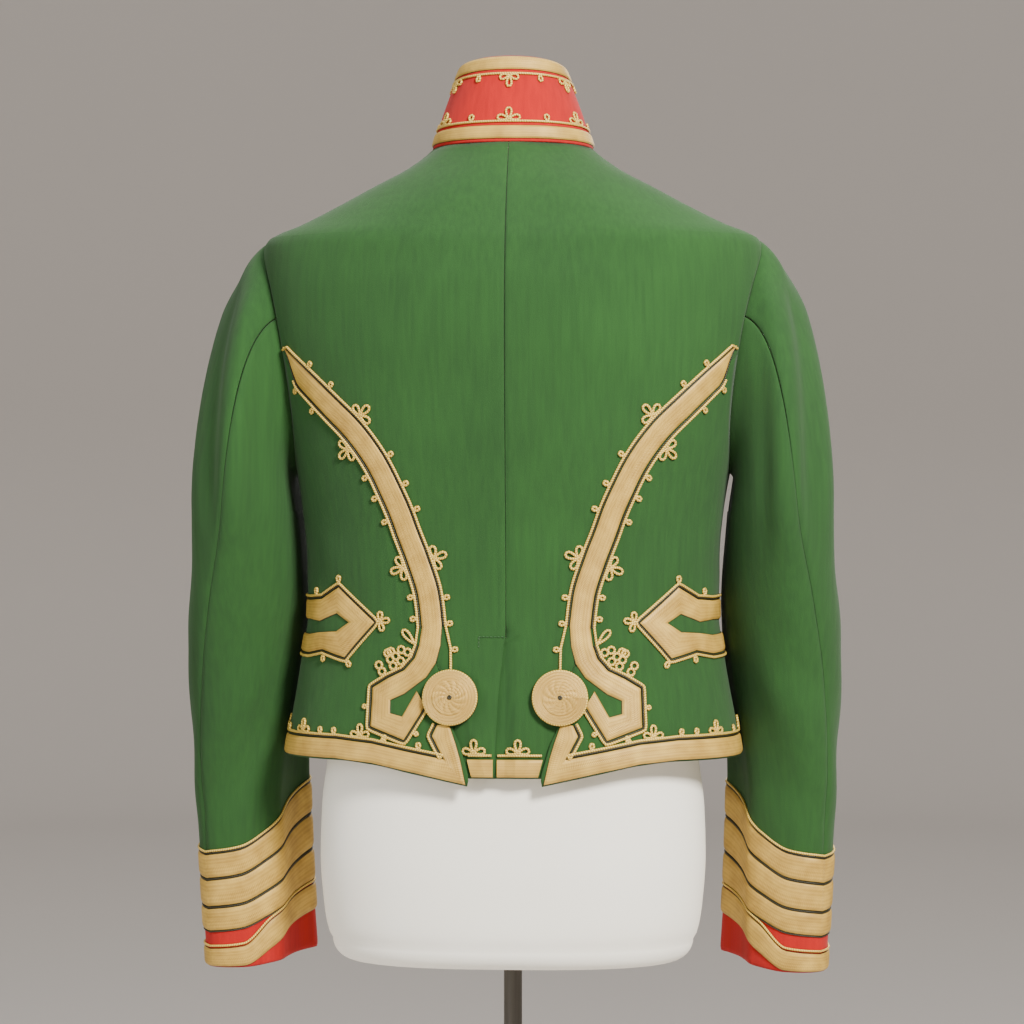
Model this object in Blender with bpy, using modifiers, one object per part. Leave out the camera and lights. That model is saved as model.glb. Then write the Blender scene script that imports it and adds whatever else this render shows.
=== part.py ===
"""Short uniform jacket in the Napoleonic style, worn by a limbless dress form.

Green wool cloth with a red standing collar, red cuffs and gold lace, over a plain
cloth-covered form on a pole with a round base. Metres, +Z up. The jacket's back looks
along -Y and +X is the wearer's right. The origin is on the floor, under the middle of
the base.

The jacket's outside is one surface, torso(turn, height): turn runs round the body
from 0 at the centre back, over a quarter turn at the side, to a half turn at the
centre front. Seams, hems and lace are laid out on it by girth, the length along the
cloth from the centre back, and height. Every piece is worked out on the +X side and
mirrored for the other one.
"""
import math

import bpy
import numpy as np
from mathutils import Matrix, Vector

# Cloth, lace and clearances
EDGE_STRIP = 0.0035         # narrow strip of wall along a seam, so that edges meet squarely
CLOTH = 0.0020
COLLAR_CLOTH = 0.0030
LACE = 0.0012
SEAM_GAP = 0.0003
ARMHOLE_GAP = 0.0006
LACE_GAP = 0.0008
QUARTER = math.pi / 2

# Level sections of the jacket: height, half width, back depth, front depth, middle y
TORSO = np.array((
    (0.850, 0.2040, 0.1200, 0.1260, 0.000),
    (0.890, 0.1995, 0.1170, 0.1240, 0.000),
    (0.944, 0.1900, 0.1100, 0.1200, 0.000),
    (0.988, 0.1830, 0.1040, 0.1170, 0.000),
    (1.030, 0.1800, 0.1010, 0.1160, 0.000),
    (1.075, 0.1820, 0.1030, 0.1190, 0.000),
    (1.120, 0.1880, 0.1100, 0.1260, 0.001),
    (1.165, 0.1970, 0.1180, 0.1320, 0.003),
    (1.210, 0.2070, 0.1240, 0.1330, 0.005),
    (1.250, 0.2140, 0.1270, 0.1260, 0.005),
    (1.290, 0.2190, 0.1250, 0.1130, 0.005),
    (1.318, 0.2205, 0.1200, 0.0990, 0.005),
    (1.331, 0.2190, 0.1170, 0.0920, 0.005),
    (1.339, 0.2140, 0.1140, 0.0870, 0.005),
    (1.348, 0.1920, 0.1100, 0.0810, 0.005),
    (1.365, 0.1580, 0.1020, 0.0710, 0.005),
    (1.383, 0.1250, 0.0915, 0.0610, 0.005),
    (1.400, 0.0930, 0.0795, 0.0550, 0.005),
    (1.418, 0.0705, 0.0675, 0.0500, 0.005),
    (1.430, 0.0660, 0.0640, 0.0490, 0.005),
))
ROUNDNESS = 2.3

# Armhole: a loop on the torso round this height at the side
ARMHOLE_HEIGHT = 1.236
ARMHOLE_RISE = 0.1025
ARMHOLE_TURN = 0.45
ARMHOLE_STEP = math.radians(18)

# Neckline: level round the back, lower at the centre front
NECK_HEIGHT = 1.4176
NECK_FRONT_DROP = 0.046

# Side-back seam under the curved lace: height, girth from centre back
SIDE_BACK_SEAM = np.array((
    (0.942, 0.0460),
    (0.958, 0.0530),
    (0.980, 0.0610),
    (1.005, 0.0630),
    (1.029, 0.0660),
    (1.059, 0.0755),
    (1.082, 0.0845),
    (1.100, 0.0910),
    (1.119, 0.0997),
    (1.141, 0.1115),
    (1.169, 0.1330),
    (1.190, 0.1560),
    (1.209, 0.1795),
    (1.236, 0.2168),
))

# Free edge of the side-back panel below the rosette: height, girth
FREE_EDGE = np.array((
    (0.8695, 0.0315),
    (0.8750, 0.0305),
    (0.8920, 0.0345),
    (0.9055, 0.0385),
    (0.9210, 0.0450),
    (0.9420, 0.0460),
))
UNDERLAP = 0.008
EDGE_FALL = 0.014           # girth in which an under layer sinks below a free edge
VENT_FALL = 0.009
DIP = 0.0034                # how deep an under layer lies below the one over it
SPLIT_HEIGHT = 0.944        # the side-back seam opens below this height

# Back vent: the left back laps over the right one
VENT_TOP = 0.9935
VENT_LAP = 0.0150
VENT_EDGE = np.array((
    (0.875, 0.0092),
    (0.940, 0.0062),
    (0.9935, 0.0012),
))

# Hem: girth, height
HEM = np.array((
    (0.0300, 0.8695),
    (0.0800, 0.8798),
    (0.1150, 0.8865),
    (0.1500, 0.8892),
    (0.2560, 0.8892),
    (0.5000, 0.8880),
))
BACK_HEM = 0.8762
FRONT_HEM = 0.8880
FRONT_LAP = 0.014
FRONT_STEP = 0.20           # turn from the centre front at which the under front dips
SHOULDER_HEIGHTS = (1.352, 1.374, 1.396, NECK_HEIGHT)

# Heights shared by both sides of the side-back seam
SEAM_HEIGHTS = np.array((
    0.8762, 0.8990, 0.9210, 0.9420, 0.9450, 0.9660, 0.9895, 0.9965, 1.0240, 1.0560,
    1.0850, 1.1130, 1.1400, 1.1650, 1.1850, 1.2030, 1.2200, 1.2360,
))

# Curved side-back lace and its loop: the loop's outer edge and inner edge
LACE_WIDTH = 0.0180
LOOP_ROWS = np.array((
    # outer girth, outer height, inner girth, inner height
    (0.0740, 0.9870, 0.0550, 0.9870),
    (0.0780, 0.9760, 0.0590, 0.9720),
    (0.0870, 0.9660, 0.0670, 0.9600),
    (0.1010, 0.9595, 0.0860, 0.9460),
    (0.1155, 0.9510, 0.0985, 0.9405),
    (0.1170, 0.9180, 0.0985, 0.9300),
    (0.0860, 0.9070, 0.0880, 0.9275),
    (0.0675, 0.9360, 0.0755, 0.9492),
))

# Hem lace with its upright end below the rosette: lower edge and upper edge
HEM_LACE_HEIGHT = 0.0170
HEM_LACE_ABOVE_HEM = 0.0008
BACK_HEM_LACE = 0.0155
PIKE_ROWS = np.array((
    # edge by the free edge: girth, height; edge away from it: girth, height
    (0.0465, 0.9205, 0.0575, 0.9205),
    (0.0410, 0.9050, 0.0620, 0.9115),
    (0.0373, 0.8925, 0.0570, 0.9020),
    (0.0325, 0.8705, 0.0515, 0.8925),
))

# Pointed lace loop on the side, mirrored about the side seam: outer and inner edge
SIDE_LOOP_ROWS = np.array((
    # outer girth, outer height, inner girth, inner height
    (0.1950, 1.0240, 0.1950, 1.0070),
    (0.1730, 1.0255, 0.1750, 1.0055),
    (0.1515, 1.0360, 0.1540, 1.0125),
    (0.1140, 1.0060, 0.1410, 1.0055),
    (0.1437, 0.9750, 0.1540, 0.9980),
    (0.1717, 0.9815, 0.1750, 0.9965),
    (0.1950, 0.9780, 0.1950, 0.9945),
))

SIDE_LOOP_HEIGHT = 1.005

# Rosettes and buttons
ROSETTE_GIRTH = 0.046
ROSETTE_HEIGHT = 0.9433
ROSETTE_RADIUS = 0.0225
ROSETTE_THICK = 0.0050
ROSETTE_LIFT = 0.0021
BUTTON_COUNT = 8
BUTTON_RADIUS = 0.0085
BUTTON_LOWEST = 0.915
BUTTON_PITCH = 0.0605
BUTTON_LIFT = 0.0006

# Collar: half sizes at its top edge, height over the neckline
COLLAR_HALF_WIDTH = 0.0455
COLLAR_BACK = 0.0530
COLLAR_FRONT = 0.0540
COLLAR_MIDDLE = 0.004
COLLAR_RISE = 0.0700
COLLAR_BACK_RISE = 0.006
COLLAR_BULGE = 0.0015
COLLAR_LACE = 0.0110
COLLAR_LACE_GAP = 0.0008

# Sleeve sections: height, middle x, middle y, long half axis, short half axis,
# turn of the long axis from +X towards the back in degrees
SLEEVE = np.array((
    (0.690, 0.2275, 0.052, 0.0580, 0.0345, 46.6),
    (0.760, 0.2316, 0.048, 0.0575, 0.0355, 47.5),
    (0.847, 0.2350, 0.040, 0.0590, 0.0380, 50.0),
    (0.935, 0.2365, 0.026, 0.0640, 0.0425, 55.0),
    (1.023, 0.2327, 0.010, 0.0670, 0.0470, 65.0),
    (1.100, 0.2305, -0.004, 0.0720, 0.0430, 77.0),
    (1.140, 0.2300, -0.006, 0.0740, 0.0430, 80.0),
))
SLEEVE_HEAD_HEIGHT = 1.100
HIND_SEAM = 4 * ARMHOLE_STEP
FORE_SEAM = -5 * ARMHOLE_STEP
TOP_SLEEVE_STEPS = 9
UNDER_SLEEVE_STEPS = 11
HEAD_ROWS = 6
ARM_ROWS = 4
SLEEVE_CLEAR = 0.0036
SLEEVE_EASE = 0.0030

# Cuff lines by turn from the hind-arm seam in degrees, the same both ways round
CUFF_LINES = np.array((
    # turn, lace 1 top, lace 1 foot, lace 2 foot, lace 3 foot, lace 4 top, lace 4 foot, cuff
    (0, 0.7970, 0.7755, 0.7503, 0.7287, 0.7133, 0.6975, 0.6970),
    (45, 0.8023, 0.7805, 0.7545, 0.7325, 0.7165, 0.6985, 0.6972),
    (75, 0.8175, 0.7945, 0.7665, 0.7435, 0.7385, 0.7135, 0.7000),
    (100, 0.8350, 0.8085, 0.7785, 0.7535, 0.7505, 0.7275, 0.7030),
    (120, 0.8450, 0.8185, 0.7870, 0.7605, 0.7575, 0.7340, 0.7050),
    (150, 0.8565, 0.8290, 0.7970, 0.7680, 0.7650, 0.7410, 0.7065),
    (180, 0.8600, 0.8325, 0.8000, 0.7705, 0.7675, 0.7430, 0.7070),
))
CUFF_LACE_SPACE = 0.0016
CUFF_TUCK = 0.006

# Dress form: height, half width, back depth, front depth, middle y
FORM = np.array((
    (0.7250, 0.1580, 0.0950, 0.0980, 0.000),
    (0.7400, 0.1630, 0.0990, 0.1020, 0.000),
    (0.7600, 0.1660, 0.1010, 0.1040, 0.000),
    (0.8000, 0.1688, 0.1030, 0.1060, 0.000),
    (0.8450, 0.1675, 0.1020, 0.1060, 0.000),
    (0.8760, 0.1638, 0.1000, 0.1040, 0.000),
    (0.9200, 0.1580, 0.0960, 0.1010, 0.000),
    (0.9700, 0.1510, 0.0900, 0.0970, 0.000),
    (1.0200, 0.1480, 0.0870, 0.0960, 0.000),
    (1.0600, 0.1510, 0.0880, 0.0990, 0.000),
    (1.1000, 0.1590, 0.0930, 0.1060, 0.001),
    (1.1500, 0.1710, 0.1010, 0.1140, 0.002),
    (1.2000, 0.1840, 0.1090, 0.1160, 0.004),
    (1.2450, 0.1980, 0.1160, 0.1130, 0.005),
))
FORM_FLOOR = 0.7100
FORM_EDGE = 0.0180
FORM_INSET = 0.0050
FORM_NECK = np.array((
    (1.4140, 0.0610, 0.0590, 0.0430, 0.005),
    (1.4280, 0.0530, 0.0530, 0.0400, 0.005),
    (1.4500, 0.0470, 0.0490, 0.0380, 0.005),
    (1.4700, 0.0410, 0.0450, 0.0350, 0.005),
    (1.4740, 0.0370, 0.0410, 0.0310, 0.005),
))
FORM_SIDES = 28

# Stand
POLE_RADIUS = 0.008
BASE_RADIUS = 0.180
BASE_THICK = 0.006
BOSS_RADIUS = 0.018
BOSS_HEIGHT = 0.038

# Colour, roughness, metallic
GREEN_WOOL = ((0.052, 0.185, 0.045), 0.90, 0.0)
RED_WOOL = ((0.640, 0.030, 0.015), 0.85, 0.0)
GOLD_LACE = ((0.560, 0.410, 0.150), 0.55, 0.3)
BRASS = ((0.700, 0.500, 0.200), 0.30, 1.0)
FORM_COVER = ((0.900, 0.870, 0.780), 0.90, 0.0)
GREY_STEEL = ((0.085, 0.075, 0.060), 0.40, 0.6)


def smooth(knots, values, at):
    """Monotone cubic curve through the knots, held level beyond both ends."""
    knots = np.asarray(knots, float)
    values = np.asarray(values, float)
    at = np.clip(np.asarray(at, float), knots[0], knots[-1])
    step = np.diff(knots)
    slope = np.diff(values) / step
    rising = slope[1:] * slope[:-1] > 0
    before = 2 * step[1:] + step[:-1]
    after = step[1:] + 2 * step[:-1]
    first = np.where(rising, slope[:-1], 1.0)
    second = np.where(rising, slope[1:], 1.0)
    bend = np.zeros_like(values)
    bend[1:-1] = np.where(rising, (before + after) / (before / first + after / second), 0.0)
    bend[0] = slope[0]
    bend[-1] = slope[-1]
    spot = np.clip(np.searchsorted(knots, at, side="right") - 1, 0, len(step) - 1)
    share = (at - knots[spot]) / step[spot]
    rest = 1 - share
    start = (1 + 2 * share) * rest ** 2 * values[spot] + share * rest ** 2 * step[spot] * bend[spot]
    end = share ** 2 * (3 - 2 * share) * values[spot + 1]
    return start + end - share ** 2 * rest * step[spot] * bend[spot + 1]


def ramp(low, high, at):
    """Smooth step from 0 at low to 1 at high, which may be the lower number."""
    share = np.clip((np.asarray(at, float) - low) / (high - low), 0, 1)
    return share * share * (3 - 2 * share)


def column(table, number, at):
    """One column of a table read along its first one."""
    return smooth(table[:, 0], table[:, number], at)


def oval(table, turn, height):
    """Point on the level sections of a table of heights, half widths and depths."""
    turn, height = np.broadcast_arrays(np.asarray(turn, float), np.asarray(height, float))
    width, back, front, middle = (column(table, number, height) for number in (1, 2, 3, 4))
    sine = np.sin(turn)
    cosine = np.cos(turn)
    reach = (np.abs(sine) ** ROUNDNESS + np.abs(cosine) ** ROUNDNESS) ** (-1 / ROUNDNESS)
    depth = np.where(cosine > 0, back, front)
    return np.stack((width * reach * sine, middle - depth * reach * cosine, height), -1)


def unit(vectors):
    return vectors / np.linalg.norm(vectors, axis=-1, keepdims=True)


def torso(turn, height, out=0.0):
    """Point on the jacket's outside, or out metres off it."""
    nudge = 1e-4
    round_it = oval(TORSO, np.add(turn, nudge), height) - oval(TORSO, np.subtract(turn, nudge), height)
    up_it = oval(TORSO, turn, np.add(height, nudge)) - oval(TORSO, turn, np.subtract(height, nudge))
    normal = unit(np.cross(round_it, up_it))
    return oval(TORSO, turn, height) + normal * np.asarray(out, float)[..., None]


GIRTH_TURNS = np.linspace(0, math.pi * 1.1, 199)
GIRTH_HEIGHTS = np.linspace(0.86, 1.42, 113)


def girth_table():
    rings = oval(TORSO, GIRTH_TURNS[None, :], GIRTH_HEIGHTS[:, None])
    steps = np.linalg.norm(np.diff(rings, axis=1), axis=2)
    return np.concatenate((np.zeros((len(steps), 1)), np.cumsum(steps, axis=1)), axis=1)


GIRTHS = girth_table()


def turn_at(girth, height):
    """Turn at which the level section has run this girth from the centre back."""
    girth, height = np.broadcast_arrays(np.asarray(girth, float), np.asarray(height, float))
    level = (height - GIRTH_HEIGHTS[0]) / (GIRTH_HEIGHTS[1] - GIRTH_HEIGHTS[0])
    level = np.clip(level, 0, len(GIRTH_HEIGHTS) - 1.001)
    turns = []
    for length, spot in zip(girth.ravel(), level.ravel()):
        row = int(spot)
        lower = np.interp(abs(length), GIRTHS[row], GIRTH_TURNS)
        upper = np.interp(abs(length), GIRTHS[row + 1], GIRTH_TURNS)
        turns.append(math.copysign(lower + (upper - lower) * (spot - row), length))
    return np.array(turns).reshape(girth.shape)


def on_jacket(girth, height, out=0.0):
    return torso(turn_at(girth, height), height, out)


def neck_height(turn):
    return NECK_HEIGHT - NECK_FRONT_DROP * front_fall(turn)


def front_fall(turn):
    """How far the front's rows have sunk from the side, 0, to the centre front, 1."""
    return ramp(QUARTER + ARMHOLE_TURN, math.pi, np.abs(turn))


def armhole_turn(angle):
    """Turn of the armhole loop: angle 0 is the shoulder, a quarter turn the back."""
    return QUARTER - ARMHOLE_TURN * np.sin(angle)


def armhole_height(angle):
    return ARMHOLE_HEIGHT + ARMHOLE_RISE * np.cos(angle)


def add_material(name, finish):
    colour, roughness, metallic = finish
    material = bpy.data.materials.new(name)
    material.use_nodes = True
    shader = material.node_tree.nodes["Principled BSDF"]
    shader.inputs["Base Color"].default_value = (*colour, 1.0)
    shader.inputs["Roughness"].default_value = roughness
    shader.inputs["Metallic"].default_value = metallic
    material.diffuse_color = (*colour, 1.0)
    return material


def add_mesh(name, points, faces, finish):
    """Object from points and faces, in the jacket's collection."""
    mesh = bpy.data.meshes.new(name)
    mesh.from_pydata([tuple(point) for point in points], [], faces)
    mesh.validate()
    mesh.materials.append(add_material(name, finish))
    mesh.shade_smooth()
    mesh.set_sharp_from_angle(angle=math.radians(40))
    piece = bpy.data.objects.new(name, mesh)
    COLLECTION.objects.link(piece)
    return piece


def add_shell(name, grid, thick, finish, left=False, ring=False):
    """Cloth wall from a grid of points whose rows climb and columns run forwards.

    The grid is the wall's outer side where thick is negative and its inner side
    where thick is positive, and Solidify makes the other one.
    """
    rows, columns = grid.shape[:2]
    points = grid.reshape(-1, 3).copy()
    if left:
        points[:, 0] *= -1
    faces = []
    for row in range(rows - 1):
        for start in range(columns if ring else columns - 1):
            end = (start + 1) % columns
            face = (row * columns + start, row * columns + end,
                    (row + 1) * columns + end, (row + 1) * columns + start)
            faces.append(face[::-1] if left else face)
    piece = add_mesh(name, points, faces, finish)
    wall = piece.modifiers.new("wall", "SOLIDIFY")
    wall.thickness = abs(thick)
    wall.offset = math.copysign(1, thick)
    wall.use_quality_normals = True
    return piece


def columns(start, end, count, height, strip_low=False, strip_high=False):
    """Turns across a panel, with a narrow strip along a seam so that walls meet squarely."""
    strip = EDGE_STRIP / float(column(TORSO, 2, height))
    low = start + strip if strip_low else start
    high = end - strip if strip_high else end
    inner = np.linspace(low, high, count)
    first = [start] if strip_low else []
    last = [end] if strip_high else []
    return np.concatenate((first, inner, last))


def girth_row(height):
    """Girths of the level section at this height, one for each of GIRTH_TURNS."""
    level = (height - GIRTH_HEIGHTS[0]) / (GIRTH_HEIGHTS[1] - GIRTH_HEIGHTS[0])
    level = min(max(level, 0), len(GIRTH_HEIGHTS) - 1.001)
    row = int(level)
    return GIRTHS[row] + (GIRTHS[row + 1] - GIRTHS[row]) * (level - row)


def girth_at(turn, height):
    return float(np.interp(abs(turn), GIRTH_TURNS, girth_row(height)))


def back_dip(girth, height, left):
    """How far a back panel lies in, under the side-back panel and under the vent."""
    edge = column(FREE_EDGE, 1, height)
    dip = (np.clip((girth - edge + EDGE_FALL) / (EDGE_FALL - 0.001), 0, 1)
           * ramp(0.962, 0.947, height))
    if not left:
        vent = np.clip(1 - girth / VENT_FALL, 0, 1)
        dip = dip + vent * ramp(VENT_TOP + 0.014, VENT_TOP + 0.002, height)
    return -DIP * dip


def front_dip(turn, left):
    """How far the right front lies in, under the edge of the left one."""
    if left:
        return np.zeros_like(turn)
    return -DIP * np.clip((turn - math.pi + FRONT_STEP) / (FRONT_STEP / 2), 0, 1)


def back_outer_turn(height):
    """Outer edge of a back panel: side-back seam, armhole, then shoulder seam."""
    gap = SEAM_GAP / 2 / float(column(TORSO, 2, height))
    if height < SPLIT_HEIGHT:
        return float(turn_at(column(FREE_EDGE, 1, height) + UNDERLAP, height))
    if height <= ARMHOLE_HEIGHT:
        return float(turn_at(column(SIDE_BACK_SEAM, 1, height) - SEAM_GAP / 2, height))
    if height < ARMHOLE_HEIGHT + ARMHOLE_RISE:
        angle = math.acos((height - ARMHOLE_HEIGHT) / ARMHOLE_RISE)
        return armhole_turn(angle) - gap
    return QUARTER - gap


def back_turns(height, left):
    """Turns of a back panel's columns, with one at each bend of its dips."""
    inner = SEAM_GAP / 2
    if height < VENT_TOP:
        inner = float(column(VENT_EDGE, 1, height)) if left else -VENT_LAP
    second = inner + 0.003 if inner > 0 else 0.0
    third = second + 0.003 if left else VENT_FALL
    end = back_outer_turn(height)
    outer = girth_at(end, height)
    if height < SPLIT_HEIGHT:
        edge = float(column(FREE_EDGE, 1, height))
        low = edge - EDGE_FALL
        high = edge - 0.001
        girths = (inner, second, third, *np.linspace(third, low, 4)[1:], (low + high) / 2, high,
                  outer - EDGE_STRIP, outer)
    else:
        girths = (inner, second, third, *np.linspace(third, outer - EDGE_STRIP, 7)[1:], outer)
    turns = turn_at(np.array(girths), height)
    turns[-1] = end
    return turns, np.array(girths)


def back_panel(left):
    """Back panel from the centre seam; the left one laps over the right at the vent."""
    arm_rows = [armhole_height(step * ARMHOLE_STEP) for step in (4, 3, 2, 1, 0)]
    grid = []
    for height in (*SEAM_HEIGHTS, *arm_rows, *SHOULDER_HEIGHTS):
        turns, girths = back_turns(height, left)
        grid.append(torso(turns, np.full_like(turns, height), back_dip(girths, height, left)))
    side = "left" if left else "right"
    return add_shell(f"back_{side}", np.array(grid), -CLOTH, GREEN_WOOL, left)


def hem_height(girth):
    return smooth(HEM[:, 0], HEM[:, 1], girth)


def side_back_panel(left):
    """Side-back panel: a patch between its seam, the side seam, the hem and the armhole."""
    seam_heights = np.concatenate(((HEM[0, 1],), SEAM_HEIGHTS[1:]))
    along = (seam_heights - seam_heights[0]) / (seam_heights[-1] - seam_heights[0])
    edge = np.where(seam_heights < SPLIT_HEIGHT, column(FREE_EDGE, 1, seam_heights),
                    column(SIDE_BACK_SEAM, 1, seam_heights) + SEAM_GAP / 2)
    across = np.concatenate(((0, 0.04), np.linspace(0, 1, 8)[1:-1], (0.985, 1)))
    seam = np.stack((turn_at(edge, seam_heights), seam_heights), -1)
    side_turn = QUARTER - SEAM_GAP / 2 / 0.11
    hem_girths = edge[0] + (girth_at(side_turn, HEM[-2, 1]) - edge[0]) * across
    hem_heights = hem_height(hem_girths)
    hem = np.stack((turn_at(hem_girths, hem_heights), hem_heights), -1)
    arc = QUARTER + QUARTER * across
    top = np.stack((armhole_turn(arc), armhole_height(arc)), -1)
    top[-1, 0] = side_turn
    hem[-1, 0] = side_turn
    top[0] = seam[-1]
    side = hem[-1] + (top[-1] - hem[-1]) * along[:, None]
    patch = blend_patch(hem, top, seam, side, across, along)
    side_name = "left" if left else "right"
    grid = torso(patch[..., 0], patch[..., 1])
    return add_shell(f"side_back_{side_name}", grid, -CLOTH, GREEN_WOOL, left)


def blend_patch(low, high, start, end, across, along):
    """Coons patch between four edges that share their corners."""
    u = across[None, :, None]
    v = along[:, None, None]
    rows = low[None] * (1 - v) + high[None] * v
    sides = start[:, None] * (1 - u) + end[:, None] * u
    corners = ((low[0] * (1 - u) + low[-1] * u) * (1 - v)
               + (high[0] * (1 - u) + high[-1] * u) * v)
    return rows + sides - corners


def front_rows():
    """Heights of a front panel's rows at the side and at the centre front."""
    side_rows = np.linspace(HEM[-2, 1], armhole_height(math.pi), 8)[:-1]
    arm_rows = armhole_height(math.pi + np.arange(11) * ARMHOLE_STEP)
    heights = np.concatenate((side_rows, arm_rows, SHOULDER_HEIGHTS))
    share = (heights - heights[0]) / (heights[-1] - heights[0])
    return heights, FRONT_HEM + (neck_height(math.pi) - FRONT_HEM) * share, len(side_rows)


def front_panel(left):
    """Front panel; the left one laps over the right one at the centre front."""
    grid = []
    heights, centres, below_arm = front_rows()
    for row, (height, centre) in enumerate(zip(heights, centres)):
        gap = SEAM_GAP / 2 / float(column(TORSO, 3, height))
        step = row - below_arm
        start = QUARTER + gap
        if 0 <= step <= 10:
            start = float(armhole_turn(math.pi + step * ARMHOLE_STEP)) + gap
        lap = math.asin(FRONT_LAP / float(column(TORSO, 1, centre)))
        near = math.pi - FRONT_STEP
        turns = np.concatenate((columns(start, near, 6, height, strip_low=True),
                                (math.pi - FRONT_STEP / 2, math.pi + lap)))
        level = height + (centre - height) * front_fall(turns)
        grid.append(torso(turns, level, front_dip(turns, left)))
    side_name = "left" if left else "right"
    return add_shell(f"front_{side_name}", np.array(grid), -CLOTH, GREEN_WOOL, left)


def sleeve_ring(turn, height):
    """Point on the sleeve's level section; turn 0 is the hind-arm seam."""
    turn, height = np.broadcast_arrays(np.asarray(turn, float), np.asarray(height, float))
    x, y, long_axis, short_axis, lean = (column(SLEEVE, number, height) for number in range(1, 6))
    lean = np.radians(lean)
    along = long_axis * np.cos(turn)
    aside = short_axis * np.sin(turn)
    return np.stack((x + along * np.cos(lean) + aside * np.sin(lean),
                     y - along * np.sin(lean) + aside * np.cos(lean), height), -1)


def beside_torso(points, clear):
    """Sleeve points moved out along X until they clear the jacket's side."""
    width, back, front, middle = (column(TORSO, number, points[..., 2]) for number in (1, 2, 3, 4))
    across = points[..., 1] - middle
    depth = np.where(across < 0, back, front)
    reach = np.clip(1 - np.abs(across / depth) ** ROUNDNESS, 0, None) ** (1 / ROUNDNESS)
    wall = width * reach + clear
    over = points[..., 0] - wall
    moved = points.copy()
    moved[..., 0] = wall + (over + np.sqrt(over ** 2 + SLEEVE_EASE ** 2)) / 2
    return moved


def armhole_angle(turn):
    """Angle on the armhole loop that feeds this turn of the sleeve."""
    share = np.asarray(turn) / math.pi
    top = HIND_SEAM + (FORE_SEAM - HIND_SEAM) * share
    under = FORE_SEAM + (HIND_SEAM - 2 * math.pi - FORE_SEAM) * (share - 1)
    return np.where(share <= 1, top, under)


def sleeve_head(turn, share):
    """Point between the armhole, share 0, and the first full ring, share 1."""
    turn, share = np.broadcast_arrays(np.asarray(turn, float), np.asarray(share, float))
    angle = armhole_angle(turn)
    start = torso(armhole_turn(angle), armhole_height(angle))
    end = beside_torso(sleeve_ring(turn, np.full_like(turn, SLEEVE_HEAD_HEIGHT)), SLEEVE_CLEAR)
    leave = unit(np.stack((np.full_like(turn, 0.88), -0.40 * np.sin(angle),
                           -0.26 - 0.21 * np.cos(angle)), -1))
    lower = sleeve_ring(turn, np.full_like(turn, SLEEVE_HEAD_HEIGHT - 0.01))
    upper = sleeve_ring(turn, np.full_like(turn, SLEEVE_HEAD_HEIGHT + 0.01))
    arrive = unit(lower - upper)
    length = np.linalg.norm(end - start, axis=-1, keepdims=True)
    start = start + leave * ARMHOLE_GAP
    v = share[..., None]
    rest = 1 - v
    points = ((1 + 2 * v) * rest ** 2 * start + v ** 2 * (3 - 2 * v) * end
              + v * rest ** 2 * length * 0.62 * leave - v ** 2 * rest * length * arrive)
    cleared = beside_torso(points, SLEEVE_CLEAR)
    return points + (cleared - points) * ramp(0.0, 0.5, v)


def cuff_line(number, turn):
    """Height of one of the cuff's lines at a turn of the sleeve."""
    degrees = np.degrees(np.abs((np.asarray(turn) + math.pi) % (2 * math.pi) - math.pi))
    return smooth(CUFF_LINES[:, 0], CUFF_LINES[:, number], degrees)


def sleeve_wall(turns, height):
    return beside_torso(sleeve_ring(turns, height), SLEEVE_CLEAR)


def arm_grid(turns, top, foot, rows, out=0.0):
    """Sleeve wall between two lines round it, with rows that climb."""
    grid = []
    nudge = 0.02
    upward = np.array((0.0, 0.0, 1.0))
    for share in np.linspace(0, 1, rows + 1):
        height = foot + (top - foot) * share
        across = sleeve_wall(turns + nudge, height) - sleeve_wall(turns - nudge, height)
        grid.append(sleeve_wall(turns, height) + unit(np.cross(across, upward)) * out)
    return np.array(grid)


def sleeve_turns(start, steps, gap):
    """Turns across half a sleeve, with a narrow strip at each seam."""
    strip = 0.2
    shares = np.concatenate(((0.0, strip), np.arange(1, steps), (steps - strip, steps))) / steps
    return start + gap + (math.pi - 2 * gap) * shares


def sleeve_piece(name, start, steps, left):
    """Top or under sleeve, from the armhole to the cuff, with a row at each cuff lace."""
    turns = sleeve_turns(start, steps, SEAM_GAP / 2 / 0.04)
    lines = [cuff_line(4, turns) + CUFF_TUCK + SEAM_GAP]
    lines += [cuff_line(number, turns) for number in (3, 2, 1)]
    top = np.full_like(turns, SLEEVE_HEAD_HEIGHT)
    lines += [lines[3] + (top - lines[3]) * step / ARM_ROWS for step in range(1, ARM_ROWS + 1)]
    arm = [sleeve_wall(turns, line) for line in lines]
    head = [sleeve_head(turns, share) for share in np.linspace(1, 0, HEAD_ROWS + 1)[1:]]
    side = "left" if left else "right"
    return add_shell(f"{name}_sleeve_{side}", np.array(arm + head), -CLOTH, GREEN_WOOL, left)


def cuff(left):
    """Red cuff below the sleeve, and the four gold laces round the wrist."""
    side = "left" if left else "right"
    around = np.concatenate((sleeve_turns(0.0, TOP_SLEEVE_STEPS, 0.0)[:-1],
                             sleeve_turns(math.pi, UNDER_SLEEVE_STEPS, 0.0)[:-1]))
    wall = arm_grid(around, cuff_line(4, around) + CUFF_TUCK, cuff_line(7, around), 2)
    add_shell(f"cuff_{side}", wall, -CLOTH, RED_WOOL, left, ring=True)
    for number in (1, 2, 3, 4):
        top_line = number if number < 4 else 5
        top = cuff_line(top_line, around) - (CUFF_LACE_SPACE if number in (2, 3) else 0)
        foot = cuff_line(top_line + 1, around)
        grid = arm_grid(around, top, foot, 1, LACE_GAP)
        add_shell(f"cuff_lace_{number}_{side}", grid, LACE, GOLD_LACE, left, ring=True)


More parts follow.
